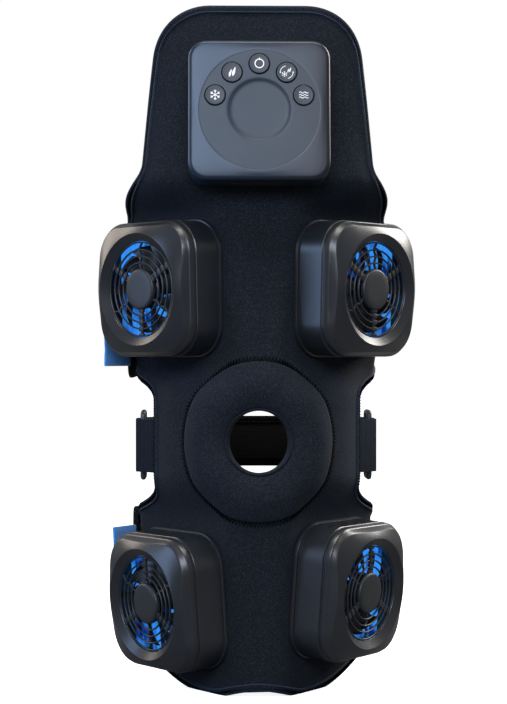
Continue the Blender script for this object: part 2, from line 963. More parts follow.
@dataclass(frozen=True)
class Seam:
    """Zigzag overlock seam, laid over a run of (girth, height) points of the skin.

    The real edge stitch repeats every millimetre, and is drawn at 1.5 mm so that it shows.
    """

    inner: float
    outer: float
    pitch: float
    thread: float
    height: float

    def mesh(
        self, name: str, run: Sequence[Point], place: Callable[[float, float, float], Vector]
    ) -> bpy.types.Mesh:
        """Thread that steps in and out along the run.

        Args:
            name: Name for the mesh.
            run: Closed run of points.
            place: Turns girth, height and lift into a point.

        Returns:
            The mesh.
        """
        steps = even_run(run, self.pitch / 2)
        inward = inward_of(steps)
        path = []
        for i, ((w, z), (dw, dz)) in enumerate(zip(steps, inward)):
            depth = self.inner if i % 2 else self.outer
            path.append(place(w + dw * depth, z + dz * depth, self.height))
        return swept(name, path, self.thread, 5, closed=True)


def even_run(run: Sequence[Point], step: float) -> list[Point]:
    """Points spaced evenly along a closed run, an even number of them.

    Args:
        run: Closed run of points.
        step: Distance wanted between points.

    Returns:
        The new points.
    """
    loop = np.array(list(run) + [run[0]], float)
    lengths = np.concatenate(([0], np.cumsum(np.linalg.norm(np.diff(loop, axis=0), axis=1))))
    count = max(4, 2 * round(lengths[-1] / step / 2))
    places = np.linspace(0, lengths[-1], count, endpoint=False)
    return list(zip(np.interp(places, lengths, loop[:, 0]), np.interp(places, lengths, loop[:, 1])))


def inward_of(run: Sequence[Point]) -> list[Point]:
    """Unit directions towards the inside of a closed run.

    Args:
        run: Closed run of points.

    Returns:
        One direction for each point.
    """
    loop = np.array(run, float)
    along = np.roll(loop, -2, axis=0) - np.roll(loop, 2, axis=0)
    along /= np.linalg.norm(along, axis=1)[:, None]
    area = 0.5 * float(np.sum(loop[:, 0] * np.roll(loop[:, 1], -1) - np.roll(loop[:, 0], -1) * loop[:, 1]))
    turn = np.stack((-along[:, 1], along[:, 0]), axis=1) * (1 if area > 0 else -1)
    return [tuple(t) for t in turn]


# Cloth


@dataclass
class Wrap:
    """The neoprene sheet with its bound edge, its overlock seams and the padded ring at the knee."""

    thickness: float = 4.0 * MM
    tongue_top: float = 238.7 * MM
    tongue_foot: float = 158 * MM
    shoulder: Point = (152 * MM, 122 * MM)
    wing_top: float = 98 * MM
    waist_top: float = 52 * MM
    waist_foot: float = 22 * MM
    calf_waist: Point = (26 * MM, 52 * MM)
    hem_notch: float = 135.5 * MM
    hem_start: float = 60 * MM
    tongue_top_half: float = 54.8 * MM
    tongue_half: float = 67.0 * MM
    shoulder_half: float = 97.1 * MM
    tongue_corner: float = 28 * MM
    thigh_half: float = 140 * MM
    knee_half: float = 76 * MM
    calf_half: float = 126 * MM
    lobe_at: float = 36 * MM
    lobe_drop: float = 6.0 * MM
    hem_rise: float = 10.5 * MM
    hem_rise_over: float = 44 * MM
    hole: float = 16.9 * MM
    row_step: float = 3.2 * MM
    fold_depth: float = 0.45 * MM
    fold_length: Point = (34 * MM, 22 * MM)
    fold_seed: float = 3.7
    calm_within: float = 46 * MM
    calm_over: float = 18 * MM
    calm_edge: float = 10 * MM
    binding_in: float = 3.6 * MM
    binding_out: float = 0.7 * MM
    binding_lift: float = 0.75 * MM

    def half_girth(self, z: float) -> float:
        """Girth from the front line to the free edge at height z.

        Args:
            z: Height.

        Returns:
            The girth.
        """
        top, foot = self.shoulder
        spread = (self.tongue_top - z) / (self.tongue_top - self.tongue_foot)
        girth = self.tongue_top_half + (self.tongue_half - self.tongue_top_half) * spread
        girth += (self.shoulder_half - girth) * ease((top - z) / (top - foot))
        girth += (self.thigh_half - girth) * ease((foot - z) / (foot - self.wing_top))
        if z < self.waist_top:
            opened = ease((z - self.waist_foot) / (self.waist_top - self.waist_foot))
            girth = self.knee_half + (self.thigh_half - self.knee_half) * opened
        if z < 0:
            low, high = self.calf_waist
            opened = ease((-z - low) / (high - low))
            girth = self.knee_half + (self.calf_half - self.knee_half) * opened
        under = self.tongue_top - z
        if under < self.tongue_corner:
            drop = self.tongue_corner - under
            girth -= self.tongue_corner - math.sqrt(max(self.tongue_corner**2 - drop**2, 0.0))
        return girth

    def hem(self, w: float) -> float:
        """Height of the bottom edge at girth w: a notch in the middle and two lobes."""
        reach = abs(w)
        if reach < self.lobe_at:
            return -self.hem_notch - self.lobe_drop * math.sin(math.pi / 2 * reach / self.lobe_at) ** 2
        rise = self.hem_rise * ((reach - self.lobe_at) / self.hem_rise_over) ** 2
        return -self.hem_notch - self.lobe_drop + rise

    def hemmed(self, w: float, z: float) -> float:
        """Height z of a plain row, moved so that the lowest row follows the hem."""
        if z > -self.hem_start:
            return z
        share = (-z - self.hem_start) / (self.hem_notch - self.hem_start)
        return -self.hem_start + share * (self.hem(w) + self.hem_start)

    def rows(self) -> list[float]:
        """Heights of the grid's rows from top to bottom, closer together in the round corners."""
        corner = [
            self.tongue_top - self.tongue_corner * (1 - math.cos(math.pi / 2 * i / 14)) for i in range(15)
        ]
        below = corner[-1]
        count = math.ceil((below + self.hem_notch) / self.row_step)
        return corner + [float(z) for z in np.linspace(below, -self.hem_notch, count + 1)[1:]]

    def columns(self, z: float) -> list[float]:
        """Girths of the grid's columns at height z, gathered where the section turns.

        Args:
            z: Height.

        Returns:
            The girths from the left edge to the right edge.
        """
        edge = self.half_girth(z)
        start, flat, end, side = SKIN.knots(z)
        last = max(edge, side + self.thickness)
        spans = ((0.0, start, 3), (start, flat, 7), (flat, end, 16), (end, side, 5), (side, last, 7))
        facet = [0.0]
        for low, high, count in spans:
            facet += [low + (high - low) * (i + 1) / count for i in range(count)]
        even = np.linspace(0, edge, len(facet))
        share = (1 - SKIN.knee_share(z) - SKIN.tongue_share(z)) * ease((edge - side) / (8 * MM))
        half = [share * a + (1 - share) * float(b) for a, b in zip(facet, even)]
        half[-1] = edge
        return [-w for w in reversed(half[1:])] + half

    def fold(self, w: float, z: float) -> float:
        """Height of the soft waves that the cloth shows between the stiff modules."""
        calm = 1 - ease((math.hypot(w, z) - self.calm_within) / self.calm_over)
        across, along = self.fold_length
        wave = noise.noise(Vector((w / across, z / along, self.fold_seed)))
        near_edge = ease((self.half_girth(z) - abs(w)) / self.calm_edge)
        stiff = 1 - SKIN.knee_share(z) * 0.5
        return self.fold_depth * wave * (1 - calm) * near_edge * stiff

    def over(self, w: float, z: float, height: float) -> Vector:
        """Point over the wrap's own face, hem and folds with it."""
        return SKIN.over(w, self.hemmed(w, z), height + self.fold(w, z))

    def outline(self) -> list[Point]:
        """Closed run of the sheet's edge in girth and height, from the top left downwards."""
        rows = self.rows()
        left = [(-self.half_girth(z), z) for z in rows]
        low = self.half_girth(rows[-1])
        bottom = [(float(w), rows[-1]) for w in np.linspace(-low, low, 60)]
        right = [(self.half_girth(z), z) for z in reversed(rows)]
        top = [(float(w), rows[0]) for w in np.linspace(right[-1][0], left[0][0], 30)]
        run = left + bottom[1:-1] + right + top[1:-1]
        real = [(w, self.hemmed(w, z)) for w, z in run]
        return even_run(real, 1.6 * MM)

    def build(self) -> None:
        """Makes the sheet, its binding and its seams."""
        outer, inner = [], []
        for z in self.rows():
            columns = self.columns(z)
            outer.append([self.over(w, z, 0.0) for w in columns])
            inner.append([SKIN.over(w, self.hemmed(w, z), -self.thickness) for w in columns])
        rows = [o + i[::-1] for o, i in zip(outer, inner)]
        sheet = lofted("sheet", rows)
        shape = bmesh.new()
        shape.from_mesh(sheet)
        bmesh.ops.holes_fill(shape, edges=[e for e in shape.edges if e.is_boundary], sides=0)
        bmesh.ops.recalc_face_normals(shape, faces=shape.faces)
        shape.to_mesh(sheet)
        shape.free()
        reach = SKIN.knee_front
        drill = prism("drill", [circle(self.hole, 96)], -reach, reach)
        drill.transform(Matrix.Translation((0, -reach, 0)) @ Matrix.Rotation(math.pi / 2, 4, "X"))
        sheet = carved(sheet, drill)
        add_piece("wrap_sheet", sheet, "neoprene", "root", "neoprene", ["wrap_shell"], smooth=50)
        run = self.outline()
        add_piece("wrap_binding", self.binding(run), "binding", "root", "neoprene", smooth=60)
        top = self.binding_lift + 0.10 * MM
        seam = Seam(inner=0.55 * MM, outer=2.45 * MM, pitch=1.5 * MM, thread=0.27 * MM, height=top)
        stitches = seam.mesh("overlock", run, SKIN.over)
        add_piece("wrap_overlock", stitches, "thread", "root", "neoprene")
        under = -self.thickness - self.binding_lift - 0.12 * MM
        back = Seam(inner=0.9 * MM, outer=2.7 * MM, pitch=3.0 * MM, thread=0.24 * MM, height=under)
        stitches = back.mesh("overlock_back", run, SKIN.over)
        add_piece("wrap_overlock_back", stitches, "thread", "root", "neoprene")

    def binding(self, run: Sequence[Point]) -> bpy.types.Mesh:
        """Knit tape folded over the edge, front to back, with a raised inner border.

        Args:
            run: Closed run of the edge.

        Returns:
            The mesh.
        """
        lift, inside, out = self.binding_lift, self.binding_in, self.binding_out
        back = -self.thickness
        profile = (
            (inside + 0.45 * MM, -0.3 * MM),
            (inside + 0.25 * MM, 0.9 * lift),
            (inside - 0.15 * MM, 1.6 * lift),
            (inside - 0.55 * MM, 1.3 * lift),
            (inside - 0.75 * MM, 0.7 * lift),
            (inside / 2, 0.80 * lift),
            (0.6 * MM, 0.95 * lift),
            (-0.6 * out, 0.55 * lift),
            (-out, -0.8 * MM),
            (-out, back + 0.8 * MM),
            (-0.6 * out, back - 0.55 * lift),
            (0.6 * MM, back - 0.95 * lift),
            (inside / 2, back - 0.8 * lift),
            (inside - 0.3 * MM, back - 0.9 * lift),
            (inside + 0.2 * MM, back - 0.4 * lift),
            (inside + 0.4 * MM, back + 0.3 * MM),
            (0.4 * MM, back / 2),
        )
        rows = []
        for (w, z), (dw, dz) in zip(run, inward_of(run)):
            rows.append([SKIN.over(w + dw * a, z + dz * a, h) for a, h in profile])
        return lofted("binding", rows, looped=True)


@dataclass
class KneePad:
    """Foam ring under jersey, rolled through the knee opening and sewn down with an overlock seam."""

    wrap: Wrap
    inner: float = 18.3 * MM
    outer: float = 43.4 * MM
    crown: float = 5.2 * MM
    lip: float = 16.8 * MM
    dent: float = 0.16 * MM
    dent_length: float = 11 * MM
    dent_seed: float = 1.3
    rings: int = 16
    segments: int = 120

    def profile(self) -> list[Point]:
        """Radius and height of the ring from its sewn edge, over the crown, into the opening."""
        run: list[Point] = [(self.outer + 0.5 * MM, -0.3 * MM), (self.outer, 0.25 * MM)]
        for i in range(self.rings + 1):
            share = i / self.rings
            radius = self.outer - (self.outer - self.inner - 0.6 * MM) * share
            swell = math.sin(math.pi * (1 - share) ** 0.85 * 0.93) ** 1.05 if share < 1 else 0.0
            edge = 0.35 * MM if share < 0.5 else 2.0 * MM
            run.append((radius, edge + (self.crown - edge) * swell) if swell else (radius, edge))
        lip, back = self.lip, -self.wrap.thickness
        run += [
            (self.inner - 0.1 * MM, 1.2 * MM),
            (lip + 1.3 * MM, 1.3 * MM),
            (lip + 0.9 * MM, 2.3 * MM),
            (lip + 0.35 * MM, 2.2 * MM),
            (lip + 0.05 * MM, 1.5 * MM),
            (lip, 0.4 * MM),
            (lip, -2.0 * MM),
            (lip + 0.1 * MM, back + 0.4 * MM),
            (lip + 0.6 * MM, back - 0.35 * MM),
            (lip + 1.8 * MM, back - 0.25 * MM),
            (lip + 2.2 * MM, back + 0.5 * MM),
            (lip + 1.6 * MM, -2.0 * MM),
            (self.inner + 2.0 * MM, -0.4 * MM),
        ]
        return run

    def build(self) -> None:
        """Makes the ring and the seam round it."""
        rows = []
        for radius, height in self.profile():
            row = []
            for w, z in circle(radius, self.segments):
                if height > 1 * MM:
                    spot = Vector((w / self.dent_length, z / self.dent_length, self.dent_seed))
                    row.append(SKIN.over(w, z, height + self.dent * noise.noise(spot)))
                else:
                    row.append(SKIN.over(w, z, height))
            rows.append(row)
        mesh = lofted("ring_pad", rows, looped=True)
        pad = add_piece("ring_pad_cover", mesh, "pad", "root", "pad cloth", ["knee_ring_pad"], smooth=75)
        seam = Seam(inner=-2.3 * MM, outer=0.4 * MM, pitch=1.9 * MM, thread=0.42 * MM, height=0.70 * MM)
        run = circle(self.outer + 0.5 * MM, 240)
        add_piece("ring_pad_seam", seam.mesh("ring_seam", run, SKIN.over), "thread", "root", "pad cloth")


@dataclass
class ClosingStrap:
    """Neoprene strap sewn to the right wing, with a felt pull tab and a hook patch at its tip.

    The bridge is the share of the length that spans the gap behind the leg.
    """

    name: str
    root_z: Point
    tip_z: Point
    edge: float
    bridge: float
    length: float
    tip_girth: float = 106 * MM
    roundness: float = 0.33
    thickness: float = 3.0 * MM
    stand_off: float = 1.5 * MM
    seam_gap: float = 0.4 * MM
    tip_corner: float = 10 * MM
    stations: int = 60
    pull_length: float = 21 * MM
    pull_share: float = 0.15
    hold: float = 50 * MM
    pull_thick: float = 1.6 * MM
    pull_flare: float = math.radians(34)
    cad_stations: int = 22

    def beside(self, w: float, z: float, height: float) -> Vector:
        """Point over the skin for the strap, which doesn't follow the wrap in towards the knee."""
        held = math.copysign(max(abs(z), self.hold), z)
        return SKIN.over(w, held, height) + Vector((0, 0, z - held))

    def at(self, across: float, station: float, height: float) -> Vector:
        """Point of the strap.

        Args:
            across: Share of the way from its lower to its upper edge.
            station: Share of the way from root to tip.
            height: Height over its outer face.

        Returns:
            The point.
        """
        root = self.root_z[0] + (self.root_z[1] - self.root_z[0]) * across
        tip = self.tip_z[0] + (self.tip_z[1] - self.tip_z[0]) * across
        z = root * (1 - station) + tip * station
        lift = height + (self.thickness + self.stand_off) * ease(station / self.bridge)
        if station > self.bridge:
            t = (station - self.bridge) / (1 - self.bridge)
            return self.beside(-(self.edge + (self.tip_girth - self.edge) * t), z, lift)
        t = station / self.bridge
        start = self.beside(self.edge + self.seam_gap, z, lift)
        finish_at = self.beside(-self.edge, z, lift)
        along = (SKIN.point(self.edge + SKIN.probe, z) - SKIN.point(self.edge, z)).normalized()
        back = Vector((-along.x, along.y, along.z))
        pull = (start - finish_at).length * self.roundness
        first, second = start + along * pull, finish_at + back * pull
        u = 1 - t
        return start * u**3 + first * 3 * u * u * t + second * 3 * u * t * t + finish_at * t**3

    def inset(self, station: float) -> float:
        """How much the rounded tip takes off each edge, as a share of the width."""
        left = (1 - station) * self.length
        if left >= self.tip_corner:
            return 0.0
        drop = self.tip_corner - left
        lost = self.tip_corner - math.sqrt(max(self.tip_corner**2 - drop**2, 0.0))
        return lost / (self.tip_z[1] - self.tip_z[0])

    def build(self) -> None:
        """Makes the strap, its seam lines, the pull tab and the hook patch."""
        body, slot = f"{self.name}_strap_body", "strap neoprene"
        stations = [i / self.stations for i in range(self.stations - 3)]
        stations += [
            1 - self.tip_corner / self.length * share for share in (0.75, 0.55, 0.36, 0.20, 0.09, 0.02, 0.0)
        ]
        stations = sorted(set(round(s, 5) for s in stations))
        rows = []
        for station in stations:
            inset = self.inset(station)
            row = []
            for across, height in self.section():
                row.append(self.at(inset + (1 - 2 * inset) * across, station, height))
            rows.append(row)
        mesh = lofted(f"{self.name}_strap_mesh", rows, capped=True)
        band = add_piece(
            f"{self.name}_strap_band", mesh, "strap", None, slot, [f"{self.name}_strap"], smooth=60
        )
        self.bend(band, body)
        stitches = []
        for across in (0.045, 0.955):
            path = []
            count = int(self.length / (1.3 * MM))
            for i in range(count):
                station = (i + 0.5) / count * 0.95
                side = across + (0.022 if i % 2 else -0.022)
                path.append(self.at(side, station, 0.12 * MM))
            stitches.append(swept("strap_stitch", path, 0.26 * MM, 5))
        seam = joined(f"{self.name}_strap_seam_mesh", stitches)
        self.bend(add_piece(f"{self.name}_strap_seam", seam, "thread", None, slot), body)
        self.build_pull(body)
        dress(f"{self.name}_hook_patch", "hook")

    def bend(self, piece: bpy.types.Object, body: str) -> None:
        """Lets a piece of the strap bend just past its sewn seam."""
        middle = -self.thickness / 2
        self.at(0.5, 0.0, middle)
        self.at(0.5, 0.09, middle)
        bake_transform(piece)

    def section(self) -> list[Point]:
        """Share across and height of the strap's closed section, its edges rounded."""
        deep = self.thickness
        low = [(0.0, -0.3 * deep), (0.006, -0.08 * deep), (0.02, 0.0), (0.09, -0.06 * deep)]
        top = [(x / 6 * 0.72 + 0.14, 0.0) for x in range(7)]
        high = [(1 - a, h) for a, h in reversed(low)]
        face = low + top + high
        under = [(a, -deep - h) for a, h in reversed(face)]
        return face + under

    def build_pull(self, body: str) -> None:
        """Makes the felt pull tab.

        Args:
            body: Body that carries it.
        """
        rows = []
        mid = -(self.thickness - self.pull_thick) / 2
        steps = 10
        for row in range(steps + 1):
            reach = self.pull_length * row / steps
            front, rear = [], []
            for i in range(9):
                across = self.pull_share + (1 - 2 * self.pull_share) * i / 8
                tip = self.at(across, 1.0, mid)
                before = self.at(across, 1.0 - 1 / self.cad_stations, mid)
                ahead = tip - before
                ahead.z = 0
                ahead.normalize()
                flared = Matrix.Rotation(-self.pull_flare, 3, "Z") @ ahead
                aside = Vector((flared.y, -flared.x, 0))
                curl = aside * (
                    0.5 * MM * math.sin(2.4 * across * math.pi) * (reach / self.pull_length) ** 2
                )
                spot = tip + ahead * self.seam_gap + flared * reach + curl
                front.append(spot)
                rear.append(spot - aside * self.pull_thick)
            rows.append(front + rear[::-1])
        mesh = bevelled(lofted(f"{self.name}_pull_mesh", rows, capped=True), 0.5 * MM, 60)
        add_piece(
            f"{self.name}_pull_felt", mesh, "felt", body, "blue felt", [f"{self.name}_pull_tab"], smooth=60
        )


@dataclass
class KneeStrap:
    """Bound strap behind the knee, folded back through two rings that webbing tabs hold."""

    z: float = -4.5 * MM
    height: float = 30 * MM
    thick: float = 1.6 * MM
    depth: float = 58 * MM
    fold_reach: float = 45 * MM
    ring_x: float = 64.5 * MM
    ring_y: float = 4.0 * MM
    bar: float = 3.2 * MM
    ring_length: float = 21.2 * MM
    ring_height: float = 40 * MM
    bar_reach: float = 2.3 * MM
    strap_fit: float = 0.8 * MM
    tab_fit: float = 0.4 * MM
    tab_length: float = 12 * MM
    tab_start: float = math.radians(-32)
    knee_half: float = 76 * MM
    overhang: float = 1.0 * MM
    neoprene: float = 4.0 * MM
    web_gap: float = 0.6 * MM

    @property
    def rear_y(self) -> float:
        """Y of the rings' rear bars."""
        return self.ring_y + self.ring_length - self.bar

    def line(self, share: float) -> Vector:
        """Point of the strap's middle line, from the right ring round to the left one."""
        angle = math.pi * share
        far = self.depth - self.rear_y
        return Vector((self.ring_x * math.cos(angle), self.rear_y + far * math.sin(angle) ** 0.85, 0))

    def build(self) -> None:
        """Makes the strap, the tabs and the rings."""
        self.build_strap()
        for side, name in ((-1, "left"), (1, "right")):
            self.build_ring(side, name)
            self.build_tab(side, name)

    def build_strap(self) -> None:
        """Makes the strap with the loops round the rear bars and its zigzag borders."""
        steps = 96
        around = self.bar_reach + self.strap_fit
        centre = [self.line(i / steps) for i in range(steps + 1)]
        rear = Vector((self.ring_x, self.rear_y, 0))
        outer, inner = [], []
        for i in range(2, steps - 1):
            along = (centre[i + 1] - centre[i - 1]).normalized()
            aside = Vector((along.y, -along.x, 0))
            near = min((centre[i] - rear).length, (centre[i] - Vector((-rear.x, rear.y, 0))).length)
            doubled = 1 - ease((near - self.fold_reach) / (3 * MM))
            outer.append(centre[i] + aside * self.thick / 2 * (1 + 2 * doubled))
            inner.append(centre[i] - aside * self.thick / 2)
        outline = list(outer)
        for side in (-1, 1):
            if side > 0:
                outline += inner[::-1]
            for step in range(13):
                angle = math.pi * (1 + step / 12)
                offset = Vector((math.cos(angle), math.sin(angle), 0)) * (around + self.thick)
                outline.append(Vector((side * rear.x, rear.y, 0)) + offset)
        holes = [circle(around, 24, (side * rear.x, rear.y)) for side in (-1, 1)]
        mesh = prism(
            "knee_strap_mesh",
            [[(p.x, p.y) for p in outline], *holes],
            self.z - self.height / 2,
            self.z + self.height / 2,
        )
        mesh = bevelled(mesh, 0.35 * MM, 60)
        add_piece(
            "knee_strap_band", mesh, "black webbing", "root", "black webbing", ["knee_strap"], smooth=50
        )
        borders = []
        for side in (-1, 1):
            lip, zigzag = [], []
            for i in range(4, steps - 3):
                along = (centre[i + 1] - centre[i - 1]).normalized()
                aside = Vector((along.y, -along.x, 0))
                face = centre[i] - aside * (self.thick / 2 + 0.1 * MM)
                lip.append(face + Vector((0, 0, self.z + side * (self.height / 2 - 4.2 * MM))))
                for k in range(2):
                    here = face.lerp(centre[i + 1] - aside * (self.thick / 2 + 0.1 * MM), k / 2)
                    drop = 1.0 * MM if k else 2.9 * MM
                    zigzag.append(here + Vector((0, 0, self.z + side * (self.height / 2 - drop))))
            borders.append(swept("strap_lip", lip, 0.35 * MM, 6))
            borders.append(swept("strap_zigzag", zigzag, 0.28 * MM, 5))
        add_piece("knee_strap_borders", joined("borders", borders), "thread", "root", "black webbing")

    def build_ring(self, side: int, name: str) -> None:
        """Makes a rectangular ring with rounded bars.

        Args:
            side: -1 for the left, 1 for the right.
            name: Word for the side.
        """
        half, tall, corner = (self.ring_length - self.bar) / 2, (self.ring_height - self.bar) / 2, 2.2 * MM
        path = []
        for y, z in rounded(half, corner, 6, tall):
            path.append(Vector((side * self.ring_x, self.ring_y + half + y, self.z + z)))
        mesh = swept(f"ring_{name}_mesh", path, self.bar / 2, 12, closed=True)
        ring, slot = f"strap_ring_{name}", "grey acetal"
        add_piece(f"ring_{name}", mesh, "ring", f"{ring}_body", slot, [ring], smooth=60)

    def build_tab(self, side: int, name: str) -> None:
        """Makes a tab of webbing folded round the ring's front bar and sewn to the wrap.

        Args:
            side: -1 for the left, 1 for the right.
            name: Word for the side.
        """
        hole = self.bar_reach + self.tab_fit
        centre = Vector((self.ring_x, self.ring_y, 0))
        outline = []
        for step in range(17):
            angle = self.tab_start + math.pi * step / 16
            outline.append(centre + Vector((math.cos(angle), math.sin(angle), 0)) * (hole + self.thick))
        girths = [self.knee_half + self.overhang - self.tab_length * step / 12 for step in range(13)]
        depth = self.neoprene + self.web_gap + 0.2 * MM
        outline += [SKIN.over(w, self.z, -depth - 2 * self.thick) for w in girths]
        outline += [SKIN.over(w, self.z, -depth) for w in reversed(girths)]
        points = [(side * p.x, p.y) for p in outline]
        bar = circle(hole, 24, (side * centre.x, centre.y))
        mesh = prism(f"tab_{name}_mesh", [points, bar], self.z - self.height / 2, self.z + self.height / 2)
        mesh = bevelled(mesh, 0.35 * MM, 60)
        tab = f"strap_tab_{name}"
        add_piece(f"tab_{name}", mesh, "navy webbing", "root", "navy webbing", [tab], smooth=50)
        ahead = Vector((math.cos(self.tab_start), math.sin(self.tab_start), 0))
        ring_side = centre + ahead * (hole + self.thick)
        edge_side = SKIN.over(self.knee_half + self.overhang, self.z, -depth)
        aside = Vector(((ring_side - edge_side).y, -(ring_side - edge_side).x, 0)).normalized()
        rows = []
        for share in (0.22, 0.34):
            spot = edge_side.lerp(ring_side, share) + aside * 0.1 * MM
            count = 11
            for i in range(count):
                low = -self.height / 2 + self.height * (i + 0.15) / count
                high = low + self.height / count * 0.7
                ends = []
                for z, sink in ((low, 0.4 * MM), ((low + high) / 2, 0.0), (high, 0.4 * MM)):
                    place = spot - aside * sink
                    ends.append(Vector((side * place.x, place.y, self.z + z)))
                rows.append(swept("tab_stitch", ends, 0.3 * MM, 5))
        add_piece(f"tab_{name}_stitches", joined("tab_stitches", rows), "thread", "root", "navy webbing")


# Thermal modules


class Seat(Enum):
    """The four places of a thermal module: its name, and whether it stands on the thigh."""

    THIGH_LEFT = ("thigh_left", True)
    THIGH_RIGHT = ("thigh_right", True)
    CALF_LEFT = ("calf_left", False)
    CALF_RIGHT = ("calf_right", False)

    @property
    def key(self) -> str:
        """Word that starts the names of its solids."""
        return self.value[0]

    @property
    def thigh(self) -> bool:
        """Whether it stands on the thigh."""
        return self.value[1]


@dataclass(frozen=True)
class Site:
    """Frame of a module or of the controller on the wrap: local z points away from the leg."""

    origin: Vector
    out: Vector
    up: Vector

    @property
    def matrix(self) -> Matrix:
        """Turns local places into places of the row frame."""
        across = self.up.cross(self.out)
        made = Matrix((across, self.up, self.out)).transposed().to_4x4()
        made.translation = self.origin
        return made


@dataclass(frozen=True)
class ModuleKit:
    """Thermal module: a square shell with slotted walls under a domed cover with a fan grille.

    The meshes are made once in the module's own frame, local z pointing away from the leg.
    """

    flange_half: float = 38.0 * MM
    flange_corner: float = 19 * MM
    flange_thick: float = 2.7 * MM
    body_half: float = 37.2 * MM
    body_corner: float = 18.4 * MM
    body_wall: float = 1.8 * MM
    body_top: float = 19.0 * MM
    cover_half: float = 35.9 * MM
    cover_wall: float = 1.6 * MM
    band_top: float = 22.6 * MM
    grille_plane: float = 27.0 * MM
    dish_rise: float = 3.0 * MM
    dish_radius: float = 30.7 * MM
    grille_radius: float = 26.2 * MM
    crease_share: tuple[float, float] = (0.66, 0.20)
    crease_height: tuple[float, float] = (28.0 * MM, -2.2 * MM)
    slot_rows: int = 4
    slot_first: float = 5.8 * MM
    slot_pitch: float = 3.4 * MM
    slot_width: float = 1.7 * MM
    slot_length: float = 21 * MM
    slot_bridge: float = 2.8 * MM
    slot_stagger: float = 3.6 * MM
    ring_radii: tuple[float, ...] = (14.6 * MM, 18.2 * MM, 21.8 * MM)
    ring_width: float = 0.8 * MM
    ring_deep: float = 1.0 * MM
    rim_width: float = 0.8 * MM
    guard_foot: float = 25.2 * MM
    guard_top: float = 26.8 * MM
    cap_radius: float = 11.3 * MM
    cap_top: float = 28.0 * MM
    cap_foot: float = 25.0 * MM
    arm_width: float = 3.4 * MM
    strut_width: float = 0.95 * MM
    columns: int = 128

    def reach(self, half: float, corner: float, angle: float) -> float:
        """Distance from the middle to a rounded square at an angle.

        Args:
            half: Half of the square.
            corner: Radius of its corners.
            angle: Angle about local z.

        Returns:
            The distance.
        """
        c, s = abs(math.cos(angle)), abs(math.sin(angle))
        flat = half / max(c, s)
        x, y = flat * c, flat * s
        centre = half - corner
        if x <= centre or y <= centre:
            return flat
        along = centre * (c + s)
        return along + math.sqrt(max(along * along - 2 * centre * centre + corner * corner, 0.0))

    def ringed(self, name: str, profile: Sequence[tuple[float, float, float]]) -> bpy.types.Mesh:
        """Closed shell whose section is a profile of (half, corner, height) round the square.

        Args:
            name: Name for the mesh.
            profile: Points of the section, joined end to start.

        Returns:
            The mesh.
        """
        rows = []
        for i in range(self.columns):
            angle = math.tau * (i + 0.5) / self.columns
            row = []
            for half, corner, height in profile:
                radius = self.reach(half, corner, angle)
                row.append(Vector((radius * math.cos(angle), radius * math.sin(angle), height)))
            rows.append(row)
        return lofted(name, rows, looped=True)

    def fold(self, angle: float) -> tuple[float, float]:
        """Share of the way from the dish to the band, and height, at which the dome is creased."""
        corner = math.sin(2 * angle) ** 2
        share, grows = self.crease_share
        height, falls = self.crease_height
        return share + grows * corner, height + falls * corner

    def crown(self, share: float, angle: float) -> float:
        """Height of the dome at a share of the way from the dish to the band: soft, then steep."""
        top = self.grille_plane + self.dish_rise
        at, height = self.fold(angle)
        if share < at:
            return top + (height - top) * (share / at) ** 1.2
        foot = self.band_top + 0.8 * MM
        return foot + (height - foot) * (1 - ((share - at) / (1 - at)) ** 1.15)

    @lru_cache(maxsize=None)
    def housing(self) -> bpy.types.Mesh:
        """Base flange with a rounded lip and the slotted wall over it.

        Returns:
            The mesh.
        """
        half, corner, thick = self.flange_half, self.flange_corner, self.flange_thick
        body, turn, wall = self.body_half, self.body_corner, self.body_wall
        profile = (
            (half - 0.5 * MM, corner - 0.5 * MM, 0.0),
            (half, corner, 0.5 * MM),
            (half, corner, thick - 0.5 * MM),
            (half - 0.15 * MM, corner - 0.15 * MM, thick - 0.12 * MM),
            (half - 0.5 * MM, corner - 0.5 * MM, thick),
            (body + 0.1 * MM, turn + 0.1 * MM, thick),
            (body - 0.25 * MM, turn - 0.25 * MM, thick + 0.15 * MM),
            (body - 0.3 * MM, turn - 0.3 * MM, thick + 0.6 * MM),
            (body, turn, thick + 0.9 * MM),
            (body, turn, self.body_top - 1.0 * MM),
            (body, turn, self.body_top - 0.55 * MM),
            (body - 0.45 * MM, turn - 0.45 * MM, self.body_top - 0.1 * MM),
            (body - wall, turn - wall, self.body_top - 0.1 * MM),
            (body - wall, turn - wall, 1.0 * MM),
            (body - wall - 3 * MM, turn - wall - 3 * MM, 0.0),
        )
        shell = self.ringed("housing", profile)
        cuts = []
        for row in range(self.slot_rows):
            height = self.slot_first + self.slot_pitch * row
            shift = self.slot_stagger * (0.5 if row % 2 else -0.5)
            for place in (-1, 1):
                middle = shift + place * (self.slot_length + self.slot_bridge) / 2
                outline = rounded(self.slot_length / 2, self.slot_width / 2, 4, self.slot_width / 2)
                cut_through = prism("slot", [outline], -self.body_half - 3 * MM, self.body_half + 3 * MM)
                cut_through.transform(
                    Matrix.Translation((middle, 0, height)) @ Matrix.Rotation(math.pi / 2, 4, "X")
                )
                cuts.append(cut_through)
        return carved(shell, joined("slots", cuts))

